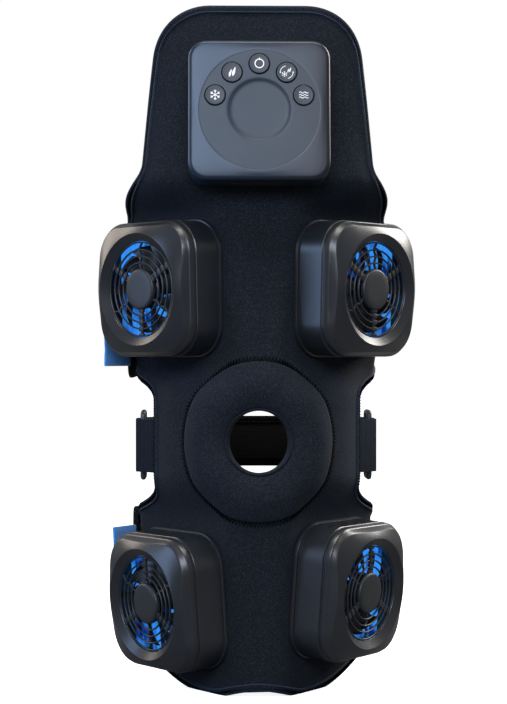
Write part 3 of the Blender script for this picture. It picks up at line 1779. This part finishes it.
    @lru_cache(maxsize=None)
    def cover(self) -> bpy.types.Mesh:
        """Cover: upright band with a fine groove, creased dome, conical dish and fan opening.

        Returns:
            The mesh.
        """
        body, turn = self.body_half, self.body_corner
        band, top = self.band_top, self.grille_plane + self.dish_rise
        dish, opening = self.dish_radius, self.grille_radius + 0.3 * MM
        outer = [
            (body - 0.45 * MM, turn - 0.45 * MM, self.body_top + 0.25 * MM),
            (body, turn, self.body_top + 0.6 * MM),
            (body, turn, self.body_top + 1.0 * MM),
            (body - 0.3 * MM, turn - 0.3 * MM, self.body_top + 1.15 * MM),
            (body - 0.3 * MM, turn - 0.3 * MM, self.body_top + 1.4 * MM),
            (body - 0.05 * MM, turn - 0.05 * MM, self.body_top + 1.6 * MM),
            (body - 0.25 * MM, turn - 0.25 * MM, band - 0.4 * MM),
            (body - 0.6 * MM, turn - 0.6 * MM, band + 0.4 * MM),
        ]
        rows = []
        for i in range(self.columns):
            angle = math.tau * (i + 0.5) / self.columns
            ray = Vector((math.cos(angle), math.sin(angle), 0))
            row = [ray * self.reach(h, c, angle) + Vector((0, 0, z)) for h, c, z in outer]
            edge = self.reach(self.cover_half + 0.3 * MM, turn - 1.0 * MM, angle)
            at, _ = self.fold(angle)
            sharp = 0.2 * MM / (edge - dish)
            steep = [1 - (1 - at - sharp) * k / 4 for k in range(5)]
            for share in (*steep, at, *(at * k for k in (0.93, 0.75, 0.5, 0.28, 0.1))):
                radius = dish + (edge - dish) * share
                row.append(ray * radius + Vector((0, 0, self.crown(share, angle))))
            rim = [
                (dish + 0.12 * MM, top),
                (dish - 0.12 * MM, top - 0.12 * MM),
                (opening + 0.5 * MM, self.grille_plane + 0.1 * MM),
                (opening + 0.15 * MM, self.grille_plane - 0.05 * MM),
                (opening, self.grille_plane - 0.3 * MM),
                (opening, self.guard_foot - 0.2 * MM),
                (opening + 1.0 * MM, self.guard_foot - 0.2 * MM),
                (dish + 1.0 * MM, top - self.cover_wall - 0.4 * MM),
            ]
            row += [ray * r + Vector((0, 0, z)) for r, z in rim]
            inner = (
                (self.cover_half - 1.6 * MM, turn - 3 * MM, band - 0.6 * MM),
                (body - 1.8 * MM, turn - 1.8 * MM, self.body_top + 0.25 * MM),
            )
            row += [ray * self.reach(h, c, angle) + Vector((0, 0, z)) for h, c, z in inner]
            rows.append(row)
        return lofted("cover", rows, looped=True)

    @lru_cache(maxsize=None)
    def guard(self) -> bpy.types.Mesh:
        """Fan guard: rim, three rings, stepped broad arms, thin bent struts and the hub cap.

        Returns:
            The mesh.
        """
        low, high = self.guard_foot, self.guard_top
        parts = []
        rim_in = self.grille_radius - self.rim_width
        rings = [
            (rim_in, self.rim_width), *((r - self.ring_width / 2, self.ring_width) for r in self.ring_radii)
        ]
        for inner, width in rings:
            profile = (
                (inner, high - self.ring_deep),
                (inner + width, high - self.ring_deep),
                (inner + width, high - 0.3 * MM),
                (inner + width - 0.25 * MM, high),
                (inner + 0.25 * MM, high),
                (inner, high - 0.3 * MM),
            )
            parts.append(turned("ring", profile, 96))
        cap = (
            (0.0, self.cap_foot),
            (self.cap_radius - 0.6 * MM, self.cap_foot),
            (self.cap_radius, low + 0.4 * MM),
            (self.cap_radius, self.cap_top - 1.4 * MM),
            (self.cap_radius - 0.15 * MM, self.cap_top - 0.8 * MM),
            (self.cap_radius - 0.6 * MM, self.cap_top - 0.25 * MM),
            (self.cap_radius - 1.5 * MM, self.cap_top - 0.03 * MM),
            (self.cap_radius - 4.5 * MM, self.cap_top),
            (0.0, self.cap_top + 0.05 * MM),
        )
        parts.append(turned("cap", cap, 72))
        for arm in range(3):
            parts += self.arm(math.pi / 2 + math.tau * arm / 3, low, high)
            parts += self.strut(math.pi / 2 + math.tau * (arm + 0.5) / 3, low, high)
        return joined("guard", parts)

    def arm(self, angle: float, low: float, high: float) -> list[bpy.types.Mesh]:
        """One broad arm: a rib with a raised block where it crosses each gap.

        Args:
            angle: Its angle.
            low: Lower height.
            high: Upper height.

        Returns:
            Its meshes.
        """
        start, end = self.cap_radius - 0.5 * MM, self.grille_radius - 0.4 * MM
        spans = [(start, end, self.arm_width * 0.62, high - 0.5 * MM)]
        for ring in self.ring_radii:
            spans.append((ring - 1.25 * MM, ring + 1.25 * MM, self.arm_width, high + 0.25 * MM))
        spans.append((end - 1.5 * MM, end, self.arm_width * 1.15, high + 0.1 * MM))
        spans.append((start, start + 1.8 * MM, self.arm_width * 1.15, high + 0.1 * MM))
        placed = []
        for first, last, width, top in spans:
            size = Vector((last - first, width, top - low))
            placed.append((Vector(((first + last) / 2, 0, (top + low) / 2)), size, angle))
        return [bevelled(boxed("arm", [one]), 0.25 * MM, 40) for one in placed]

    def strut(self, angle: float, low: float, high: float) -> list[bpy.types.Mesh]:
        """A thin strut that steps sideways at each ring.

        Args:
            angle: Its mean angle.
            low: Lower height.
            high: Upper height.

        Returns:
            Its meshes.
        """
        marks = (self.cap_radius - 0.5 * MM, *self.ring_radii, self.grille_radius - 0.6 * MM)
        path = []
        for i, radius in enumerate(marks):
            lean = angle + (0.055 if i % 2 else -0.045)
            path.append((radius * math.cos(lean), radius * math.sin(lean)))
        placed = []
        for (ax, ay), (bx, by) in zip(path, path[1:]):
            turn = math.atan2(by - ay, bx - ax)
            span = math.hypot(bx - ax, by - ay)
            middle = Vector(((ax + bx) / 2, (ay + by) / 2, (low + high - 0.3 * MM) / 2))
            middle = Matrix.Rotation(-turn, 3, "Z") @ middle
            placed.append(
                (middle, Vector((span + 0.3 * MM, self.strut_width, high - 0.3 * MM - low)), turn)
            )
        return [bevelled(boxed("strut", [one]), 0.2 * MM, 40) for one in placed]

    @lru_cache(maxsize=None)
    def rotor(self) -> bpy.types.Mesh:
        """Fan rotor with swept, twisted blades round its hub.

        Returns:
            The mesh.
        """
        foot, top, hub, tip, blades = 17.9 * MM, 23.4 * MM, 10.5 * MM, 24.0 * MM, 9
        drum = (
            (0.0, top - 1.0 * MM),
            (hub - 1.0 * MM, top - 1.0 * MM),
            (hub - 1.0 * MM, foot),
            (hub, foot),
            (hub, top - 0.6 * MM),
            (hub - 0.6 * MM, top),
            (0.0, top),
        )
        parts = [turned("drum", drum, 64)]
        steps = 9
        for blade in range(blades):
            rows = []
            for i in range(steps + 1):
                share = i / steps
                radius = hub - 0.3 * MM + (tip - hub + 0.3 * MM) * share
                sweep = math.tau * blade / blades + 0.42 * share**1.4
                chord = 0.60 - 0.04 * share
                pitch = (top - foot - 0.9 * MM) * (1 - 0.28 * share)
                thick = 0.9 * MM * (1 - 0.35 * share)
                upper, lower = [], []
                for k in range(7):
                    along = k / 6
                    turn = sweep + chord * (along - 0.5)
                    camber = 0.5 * MM * math.sin(math.pi * along)
                    height = foot + 0.3 * MM + (top - foot - 0.9 * MM - pitch) / 2 + pitch * along + camber
                    ray = Vector((math.cos(turn), math.sin(turn), 0))
                    full = math.sin(math.pi * along) ** 0.6 if 0 < along < 1 else 0.0
                    edge = thick * (0.25 + 0.75 * full)
                    upper.append(ray * radius + Vector((0, 0, height + edge / 2)))
                    lower.append(ray * radius + Vector((0, 0, height - edge / 2)))
                rows.append(upper + lower[::-1])
            parts.append(lofted("blade", rows, capped=True))
        return joined("rotor", parts)

    @lru_cache(maxsize=None)
    def sink(self) -> bpy.types.Mesh:
        """Finned heat sink, its fins standing across the slots.

        Returns:
            The mesh.
        """
        side, foot, base, top = 58 * MM, 4.9 * MM, 2.0 * MM, 15.5 * MM
        placed = [(Vector((0, 0, foot + base / 2)), Vector((side, side, base)), 0.0)]
        fins = 15
        for i in range(fins):
            x = -side / 2 + 0.7 * MM + (side - 1.4 * MM) * i / (fins - 1)
            size = Vector((0.9 * MM, side, top - foot - base + 0.2 * MM))
            placed.append((Vector((x, 0, (foot + base + top) / 2)), size, 0.0))
        return bevelled(boxed("sink", placed), 0.12 * MM, 40, 1)


@dataclass
class Module:
    """One thermal module in its place."""

    seat: Seat
    site: Site
    kit: ModuleKit

    def build(self) -> None:
        """Places the shared meshes on this module's site."""
        key, matrix = self.seat.key, self.site.matrix
        turned_grille = matrix @ Matrix.Rotation(math.pi / 3 if self.seat.thigh else 0.0, 4, "Z")
        add_piece(
            f"{key}_shell",
            self.kit.housing(),
            "shell",
            "root",
            "module plastic",
            [f"{key}_housing"],
            matrix,
        )
        add_piece(
            f"{key}_dome",
            self.kit.cover(),
            "shell",
            "root",
            "module plastic",
            [f"{key}_front_cover"],
            matrix,
            20,
        )
        add_piece(
            f"{key}_guard",
            self.kit.guard(),
            "guard",
            "root",
            "black plastic",
            [f"{key}_grille"],
            turned_grille,
        )
        add_piece(
            f"{key}_fins",
            self.kit.sink(),
            "blue fins",
            "root",
            "blue anodised aluminium",
            [f"{key}_heat_sink"],
            matrix,
        )
        body = f"{key}_fan_body"
        add_piece(f"{key}_rotor", self.kit.rotor(), "fan", body, "fan plastic", [f"{key}_fan"], matrix)
        for part, look in (("fan_motor", "steel"), ("peltier", "ceramic"), ("cold_plate", "aluminium")):
            dress(f"{key}_{part}", look)


# Controller


def stroke(path: Sequence[Point], width: float) -> list[Point]:
    """Outline of a line drawn with a pen of a width.

    Args:
        path: Points of the line.
        width: Width of the pen.

    Returns:
        The closed outline.
    """
    points = np.array(path, float)
    along = np.gradient(points, axis=0)
    along /= np.linalg.norm(along, axis=1)[:, None]
    aside = np.stack((-along[:, 1], along[:, 0]), axis=1) * width / 2
    run = np.concatenate((points + aside, (points - aside)[::-1]))
    return [(float(x), float(y)) for x, y in run]


def arc(radius: float, start: float, end: float, steps: int = 16) -> list[Point]:
    """Points of an arc from one angle to another, in degrees."""
    turns = [math.radians(start + (end - start) * i / steps) for i in range(steps + 1)]
    return [(radius * math.cos(a), radius * math.sin(a)) for a in turns]


def shifted(loop: Sequence[Point], x: float, y: float, scale: float = 1.0) -> list[Point]:
    """A loop of points scaled and moved."""
    return [(x + scale * px, y + scale * py) for px, py in loop]


@dataclass(frozen=True)
class Symbol:
    """Printed function symbols of the buttons, each a list of shapes with their own holes."""

    reach: float = 2.6 * MM
    pen: float = 0.46 * MM

    def snowflake(self) -> list[list[list[Point]]]:
        """Six arms with forked tips."""
        shapes = []
        for arm in range(6):
            turn = Matrix.Rotation(math.tau * (arm + 0.5) / 6, 2)
            for path in (
                ((0.1 * MM, 0.0), (1.08 * self.reach, 0.0)),
                ((0.62 * self.reach, 0.0), (0.92 * self.reach, 0.26 * self.reach)),
                ((0.62 * self.reach, 0.0), (0.92 * self.reach, -0.26 * self.reach)),
            ):
                ends = [tuple(turn @ Vector(p)) for p in path]
                shapes.append([stroke(ends, self.pen * 0.75)])
        return shapes

    def flame(self) -> list[list[list[Point]]]:
        """Two slanted leaves side by side."""
        leaf = []
        steps = 14
        for i in range(steps + 1):
            t = i / steps
            leaf.append(
                (-0.5 + t + 0.50 * math.sin(math.pi * t), -1.05 + 2.1 * t - 0.22 * math.sin(math.tau * t))
            )
        back = []
        for i in range(1, steps):
            t = 1 - i / steps
            back.append(
                (-0.5 + t - 0.50 * math.sin(math.pi * t), -1.05 + 2.1 * t + 0.10 * math.sin(math.tau * t))
            )
        loop = [(0.62 * x, y) for x, y in leaf + back]
        unit = self.reach
        return [
            [shifted(loop, 0.36 * unit, 0.12 * unit, 0.92 * unit)],
            [shifted(loop, -0.38 * unit, -0.18 * unit, 0.80 * unit)],
        ]

    def power(self) -> list[list[list[Point]]]:
        """Ring with a short bar at its top."""
        ring = [circle(self.reach, 48), circle(self.reach - 1.15 * self.pen, 48)]
        bar = rounded(0.32 * self.pen * 1.6, 0.1 * MM, 2, 0.62 * MM)
        return [ring, [shifted(bar, 0.0, self.reach - 0.1 * MM)]]

    def contrast(self) -> list[list[list[Point]]]:
        """Two arc arrows round a small snowflake and a small flame."""
        shapes = []
        radius = self.reach * 1.32
        for start in (100, 280):
            shapes.append([stroke(arc(radius, start, start + 75), self.pen * 0.66)])
            angle = math.radians(start + 82)
            tip = Vector((radius * math.cos(angle), radius * math.sin(angle)))
            ahead = Vector((-math.sin(angle), math.cos(angle)))
            aside = Vector((math.cos(angle), math.sin(angle)))
            head = (
                tip + ahead * 0.45 * MM,
                tip - ahead * 0.35 * MM + aside * 0.5 * MM,
                tip - ahead * 0.35 * MM - aside * 0.5 * MM,
            )
            shapes.append([[tuple(p) for p in head]])
        for shape in self.snowflake():
            shapes.append([shifted(shape[0], -0.46 * self.reach, -0.40 * self.reach, 0.56)])
        for shape in self.flame():
            shapes.append([shifted(shape[0], 0.52 * self.reach, 0.46 * self.reach, 0.52)])
        return shapes

    def vibration(self) -> list[list[list[Point]]]:
        """Three wide waves, one over another."""
        shapes = []
        for row in (0.52, 0.0, -0.52):
            path = []
            for i in range(33):
                x = -self.reach * 0.95 + 2 * self.reach * 0.95 * i / 32
                path.append((x, row * self.reach + 0.13 * self.reach * math.sin(math.tau * 2 * i / 32)))
            shapes.append([stroke(path, self.pen * 0.75)])
        return shapes

    def mesh(self, kind: str, low: float) -> bpy.types.Mesh:
        """Thin layer of ink in the shape of a symbol.

        Args:
            kind: Name of the symbol's method.
            low: Height on which it lies.

        Returns:
            The mesh.
        """
        layers = []
        for i, shape in enumerate(getattr(self, kind)()):
            layers.append(prism("mark", shape, low - 0.05 * MM, low + 0.05 * MM + 0.002 * MM * i))
        return joined(f"{kind}_ink", layers)


@dataclass(frozen=True, eq=False)
class Controller:
    """Square controller with a crowned cover, an inset round panel and five buttons."""

    kit: ModuleKit
    site: Site
    half: float = 38.1 * MM
    corner: float = 9.7 * MM
    split: float = 8.5 * MM
    top: float = 24.0 * MM
    edge: float = 2.4 * MM
    panel_radius: float = 32.5 * MM
    panel_fit: float = -0.03 * MM
    panel_top: float = 24.3 * MM
    dish_radius: float = 16.8 * MM
    dish_depth: float = 0.8 * MM
    button_ring: float = 24.9 * MM
    button_radius: float = 5.4 * MM
    button_hole: float = 5.7 * MM
    button_top: float = 25.0 * MM
    button_foot: float = 21.5 * MM
    step: float = 36.0
    port_width: float = 30.5 * MM
    port_height: float = 6.0 * MM
    port_rise: float = 12.5 * MM
    port_thick: float = 1.4 * MM
    order: tuple[tuple[str, str], ...] = (
        ("cold", "snowflake"),
        ("heat", "flame"),
        ("power", "power"),
        ("contrast", "contrast"),
        ("vibration", "vibration"),
    )

    def button_spots(self) -> list[Point]:
        """Middles of the buttons from left to right."""
        angles = [math.radians(90 + self.step * k) for k in (2, 1, 0, -1, -2)]
        return [(self.button_ring * math.cos(a), self.button_ring * math.sin(a)) for a in angles]

    def rounded_profile(self, low: float, high: float, sunk: float) -> list[tuple[float, float, float]]:
        """Side of the cover from its foot over the rounded edge, as (half, corner, height)."""
        run = [(self.half - sunk, self.corner - sunk, low)]
        if sunk:
            run += [
                (self.half - sunk, self.corner - sunk, low + 0.2 * MM),
                (self.half, self.corner, low + 0.45 * MM),
            ]
        for i in range(7):
            angle = math.pi / 2 * i / 6
            back = self.edge * (1 - math.cos(angle))
            height = high - self.edge * (1 - math.sin(angle))
            run.append((self.half - back, max(self.corner - back * 0.75, 2 * MM), height))
        return run

    def build(self) -> None:
        """Makes the cover, the base, the panel, the buttons and the port cover."""
        place = self.site.matrix
        cover = self.cover()
        add_piece(
            "controller_face", cover, "face", "root", "controller plastic", ["controller_cover"], place, 45
        )
        dress("controller_base", "base")
        add_piece("panel", self.panel(), "panel", "root", "panel plastic", ["control_panel"], place, 30)
        symbol = Symbol()
        for (name, kind), (x, y) in zip(self.order, self.button_spots()):
            body = f"{name}_button_body"
            at = place @ Matrix.Translation((x, y, 0))
            cap = self.button()
            add_piece(f"{name}_key", cap, "button", body, "button plastic", [f"{name}_button"], at, 50)
            add_piece(
                f"{name}_symbol",
                symbol.mesh(kind, self.button_top - 0.12 * MM),
                "ink",
                body,
                "button plastic",
                (),
                at,
            )
        self.build_port(place)
        rest = (
            ("controller_clamp", "base"),
            ("circuit_board", "board"),
            ("battery", "battery"),
            ("vibration_motor", "steel"),
            ("charging_port", "aluminium"),
        )
        for node, look in rest:
            dress(node, look)

    def cover(self) -> bpy.types.Mesh:
        """Crowned cover with rounded edges round the panel's opening.

        Returns:
            The mesh.
        """
        rows = []
        opening = self.panel_radius + self.panel_fit
        outer = self.rounded_profile(self.split, self.top, 0.5 * MM)
        for i in range(self.kit.columns):
            angle = math.tau * (i + 0.5) / self.kit.columns
            ray = Vector((math.cos(angle), math.sin(angle), 0))
            row = [ray * self.kit.reach(h, c, angle) + Vector((0, 0, z)) for h, c, z in outer]
            edge = row[-1].to_2d().length
            for share in (0.75, 0.5, 0.25, 0.06):
                radius = opening + 0.3 * MM + (edge - opening - 0.3 * MM) * share
                lift = 0.30 * MM * (1 - share**2)
                row.append(ray * radius + Vector((0, 0, self.top + lift)))
            row.append(ray * (opening + 0.1 * MM) + Vector((0, 0, self.top + 0.3 * MM)))
            row.append(ray * opening + Vector((0, 0, self.top + 0.27 * MM)))
            row.append(ray * opening + Vector((0, 0, self.top - 1.4 * MM)))
            inner = ((self.half - 3.4 * MM, self.corner - 3.0 * MM, self.top - 1.8 * MM),
                     (self.half - 1.8 * MM, self.corner - 1.8 * MM, self.top - 3.4 * MM),
                     (self.half - 1.8 * MM, self.corner - 1.8 * MM, self.split))
            row += [ray * self.kit.reach(h, c, angle) + Vector((0, 0, z)) for h, c, z in inner]
            rows.append(row)
        return lofted("cover", rows, looped=True)

    def panel(self) -> bpy.types.Mesh:
        """Round panel with a soft dish in the middle and five holes for the buttons.

        Returns:
            The mesh.
        """
        top, dish, deep = self.panel_top, self.dish_radius, self.dish_depth
        profile = (
            (0.0, top - 1.9 * MM),
            (self.panel_radius - 0.1 * MM, top - 1.9 * MM),
            (self.panel_radius, top - 1.6 * MM),
            (self.panel_radius, top - 0.05 * MM),
            (self.panel_radius - 0.08 * MM, top),
            (self.panel_radius - 0.4 * MM, top),
            (dish + 1.6 * MM, top),
            (dish + 0.5 * MM, top - 0.03 * MM),
            (dish + 0.1 * MM, top - 0.14 * MM),
            (dish - 0.4 * MM, top - 0.42 * deep),
            (dish - 1.1 * MM, top - 0.80 * deep),
            (dish - 2.0 * MM, top - 0.96 * deep),
            (dish - 3.2 * MM, top - deep),
            (0.0, top - deep),
        )
        disk = turned("panel", profile, 128)
        wide, under, over = self.button_hole, top - 3 * MM, top + 1 * MM
        cuts = []
        for x, y in self.button_spots():
            shape = (
                (0.0, under),
                (wide, under),
                (wide, top - 0.25 * MM),
                (wide + 0.28 * MM, top + 0.05 * MM),
                (wide + 0.3 * MM, over),
                (0.0, over),
            )
            hole = turned("hole", shape, 56)
            hole.transform(Matrix.Translation((x, y, 0)))
            cuts.append(hole)
        return carved(disk, joined("holes", cuts))

    @lru_cache(maxsize=None)
    def button(self) -> bpy.types.Mesh:
        """Round key: raised rim with a shallow dished face.

        Returns:
            The mesh.
        """
        radius, top = self.button_radius, self.button_top
        profile = (
            (0.0, self.button_foot),
            (radius, self.button_foot),
            (radius, top - 0.45 * MM),
            (radius - 0.1 * MM, top - 0.15 * MM),
            (radius - 0.35 * MM, top),
            (radius - 0.7 * MM, top - 0.03 * MM),
            (radius - 1.3 * MM, top - 0.10 * MM),
            (radius - 2.2 * MM, top - 0.13 * MM),
            (0.0, top - 0.13 * MM),
        )
        return turned("key", profile, 56)

    def build_port(self, place: Matrix) -> None:
        """Makes the soft cover of the charging port in the bottom side.

        Args:
            place: Place of the controller.
        """
        outline = rounded(self.port_width / 2, self.port_height / 2 - 0.02 * MM, 10, self.port_height / 2)
        mesh = prism("port", [outline], 0.0, self.port_thick, 0.3 * MM)
        upright = Matrix.Rotation(math.pi / 2, 4, "X")
        turn = Matrix.Translation((0, -self.half - 0.35 * MM + self.port_thick, self.port_rise)) @ upright
        add_piece(
            "port_flap", mesh, "rubber", "port_cover_body", "black rubber", ["port_cover"], place @ turn, 50
        )


# Stage


@dataclass(frozen=True)
class Lamp:
    """A soft box: place, what it faces, size, power in watts and colour."""

    name: str
    spot: tuple[float, float, float]
    aim: tuple[float, float, float]
    size: Point
    power: float
    colour: str

    def build(self) -> None:
        """Puts the lamp in the scene."""
        data = bpy.data.lights.new(self.name, "AREA")
        data.shape = "RECTANGLE"
        data.size, data.size_y = self.size
        data.energy = self.power
        data.color = linear(self.colour)[:3]
        obj = bpy.data.objects.new(self.name, data)
        obj.location = self.spot
        obj.rotation_euler = (Vector(self.aim) - Vector(self.spot)).to_track_quat("-Z", "Y").to_euler()
        bpy.context.scene.collection.objects.link(obj)


@dataclass
class Studio:
    """White sweep, soft boxes and the camera in front of the knee."""

    target: tuple[float, float, float] = (-3 * MM, -58 * MM, 48.5 * MM)
    distance: float = 1.0
    azimuth: float = math.radians(-1.33)
    elevation: float = math.radians(-0.13)
    lens: float = 95.0
    floor_drop: float = 0.5 * MM
    floor_size: float = 30.0
    lamps: tuple[Lamp, ...] = (
        Lamp("front_box", (-0.25, -1.6, 0.75), (0, 0, 0.06), (0.9, 0.6), 18, "#e6efff"),
        Lamp("right_rim", (0.80, 0.48, 0.62), (0.06, -0.03, 0.06), (0.42, 0.62), 11, "#fffaf4"),
        Lamp("left_panel", (-1.3, -0.20, 0.15), (0, -0.03, 0.06), (0.35, 0.9), 6, "#a8cbff"),
        Lamp("left_rim", (-0.9, 0.60, 0.55), (-0.06, -0.03, 0.06), (0.4, 0.7), 4, "#fff1e2"),
        Lamp("top_box", (0.1, -0.45, 1.5), (0, 0, 0.1), (0.9, 0.6), 15, "#fff8f0"),
    )

    def build(self) -> None:
        """Makes the floor, the world, the lamps and the camera."""
        low = CAD_BOX[0][2] - self.floor_drop
        half = self.floor_size / 2
        mesh = bpy.data.meshes.new("floor")
        mesh.from_pydata(
            [(-half, -half, low), (half, -half, low), (half, half, low), (-half, half, low)],
            [],
            [(0, 1, 2, 3)],
        )
        mesh.materials.append(self.floor_paint())
        floor = bpy.data.objects.new("floor", mesh)
        bpy.context.scene.collection.objects.link(floor)
        self.sky()
        for lamp in self.lamps:
            lamp.build()
        self.place_camera()
        bpy.context.scene.view_settings.view_transform = "Standard"

    def floor_paint(self) -> bpy.types.Material:
        """Matt white paper that stays white in the picture and still takes the object's shadow."""
        made = bpy.data.materials.new("white_paper")
        made.use_nodes = True
        tree = made.node_tree
        tree.nodes.clear()
        grain = add_node(tree, "ShaderNodeTexNoise", {"Scale": 1 / (60 * MM), "Detail": 2.0})
        tone = ramp(tree, grain.outputs["Fac"], ((0.0, "#f4f4f4"), (1.0, "#fbfbfb")))
        seen = add_node(tree, "ShaderNodeLightPath").outputs["Is Camera Ray"]
        settings = {"data_type": "RGBA", 6: linear("#6a6a6c")}
        colour = add_node(tree, "ShaderNodeMix", settings, {0: seen, 7: tone}).outputs[2]
        paper = add_node(tree, "ShaderNodeBsdfDiffuse", links={"Color": colour})
        lift = add_node(tree, "ShaderNodeMath", {"operation": "MULTIPLY", 1: 0.84}, {0: seen})
        links = {"Strength": lift.outputs["Value"]}
        glow = add_node(tree, "ShaderNodeEmission", {"Color": (1, 1, 1, 1)}, links)
        shaders = {0: paper.outputs["BSDF"], 1: glow.outputs["Emission"]}
        both = add_node(tree, "ShaderNodeAddShader", links=shaders)
        add_node(tree, "ShaderNodeOutputMaterial", links={"Surface": both.outputs["Shader"]})
        return made

    def sky(self) -> None:
        """White surround for the eye, softer as a light and in reflections."""
        world = bpy.data.worlds.new("surround")
        bpy.context.scene.world = world
        world.use_nodes = True
        tree = world.node_tree
        tree.nodes.clear()
        path = add_node(tree, "ShaderNodeLightPath")
        rays = {0: path.outputs["Is Camera Ray"], 1: path.outputs["Is Transmission Ray"]}
        seen = add_node(tree, "ShaderNodeMath", {"operation": "MAXIMUM"}, rays)
        level = mapped(tree, seen.outputs["Value"], (0.0, 1.0), (0.32, 1.0))
        light = add_node(tree, "ShaderNodeBackground", {"Color": (1, 1, 1, 1)}, {"Strength": level})
        add_node(tree, "ShaderNodeOutputWorld", links={"Surface": light.outputs["Background"]})

    def place_camera(self) -> None:
        """Puts the camera at the photograph's angle, with the whole frame of 507 by 704 in view."""
        flat = math.cos(self.elevation)
        side, front = math.sin(self.azimuth) * flat, -math.cos(self.azimuth) * flat
        away = Vector((side, front, math.sin(self.elevation)))
        data = bpy.data.cameras.new("camera")
        data.lens = self.lens
        data.sensor_width = 36
        data.clip_start = 0.01
        camera = bpy.data.objects.new("camera", data)
        camera.location = Vector(self.target) + away * self.distance
        camera.rotation_euler = (-away).to_track_quat("-Z", "Y").to_euler()
        bpy.context.scene.collection.objects.link(camera)
        bpy.context.scene.camera = camera


SITES = {
    Seat.THIGH_LEFT: Site(
        Vector((-0.045179, -0.019206, 0.0837)),
        Vector((-0.728675, -0.684273, -0.028347)),
        Vector((-0.020664, -0.019405, 0.999598)),
    ),
    Seat.THIGH_RIGHT: Site(
        Vector((0.045179, -0.019206, 0.0837)),
        Vector((0.728675, -0.684273, -0.028347)),
        Vector((0.020664, -0.019405, 0.999598)),
    ),
    Seat.CALF_LEFT: Site(
        Vector((-0.040181, -0.016101, -0.0881)),
        Vector((-0.797223, -0.598572, -0.078402)),
        Vector((-0.062697, -0.047074, 0.996922)),
    ),
    Seat.CALF_RIGHT: Site(
        Vector((0.040372, -0.016579, -0.0825)),
        Vector((0.797249, -0.598592, -0.077979)),
        Vector((0.062359, -0.04682, 0.996955)),
    ),
}
CONTROL_SITE = Site(
    Vector((0, -0.04193, 0.1757)),
    Vector((0, -0.995037, 0.099502)),
    Vector((0, 0.099502, 0.995037)),
)


def main() -> None:
    """Builds the wrap from the skin outwards, then the studio."""
    logging.basicConfig(level=logging.INFO, format="%(message)s")
    wrap = Wrap()
    wrap.build()
    KneePad(wrap).build()
    KneeStrap().build()
    thigh = ClosingStrap(
        "thigh",
        (52 * MM, 100 * MM),
        (33 * MM, 87 * MM),
        edge=140 * MM,
        bridge=0.80,
        length=170 * MM,
        pull_share=0.15,
    )
    thigh.build()
    calf = ClosingStrap(
        "calf",
        (-97 * MM, -56 * MM),
        (-90 * MM, -40 * MM),
        edge=126 * MM,
        bridge=0.84,
        length=150 * MM,
        pull_share=0.22,
    )
    calf.build()
    kit = ModuleKit()
    for seat, site in SITES.items():
        Module(seat, site, kit).build()
    Controller(kit, CONTROL_SITE).build()
    Studio().build()


if __name__ == "__main__":
    main()
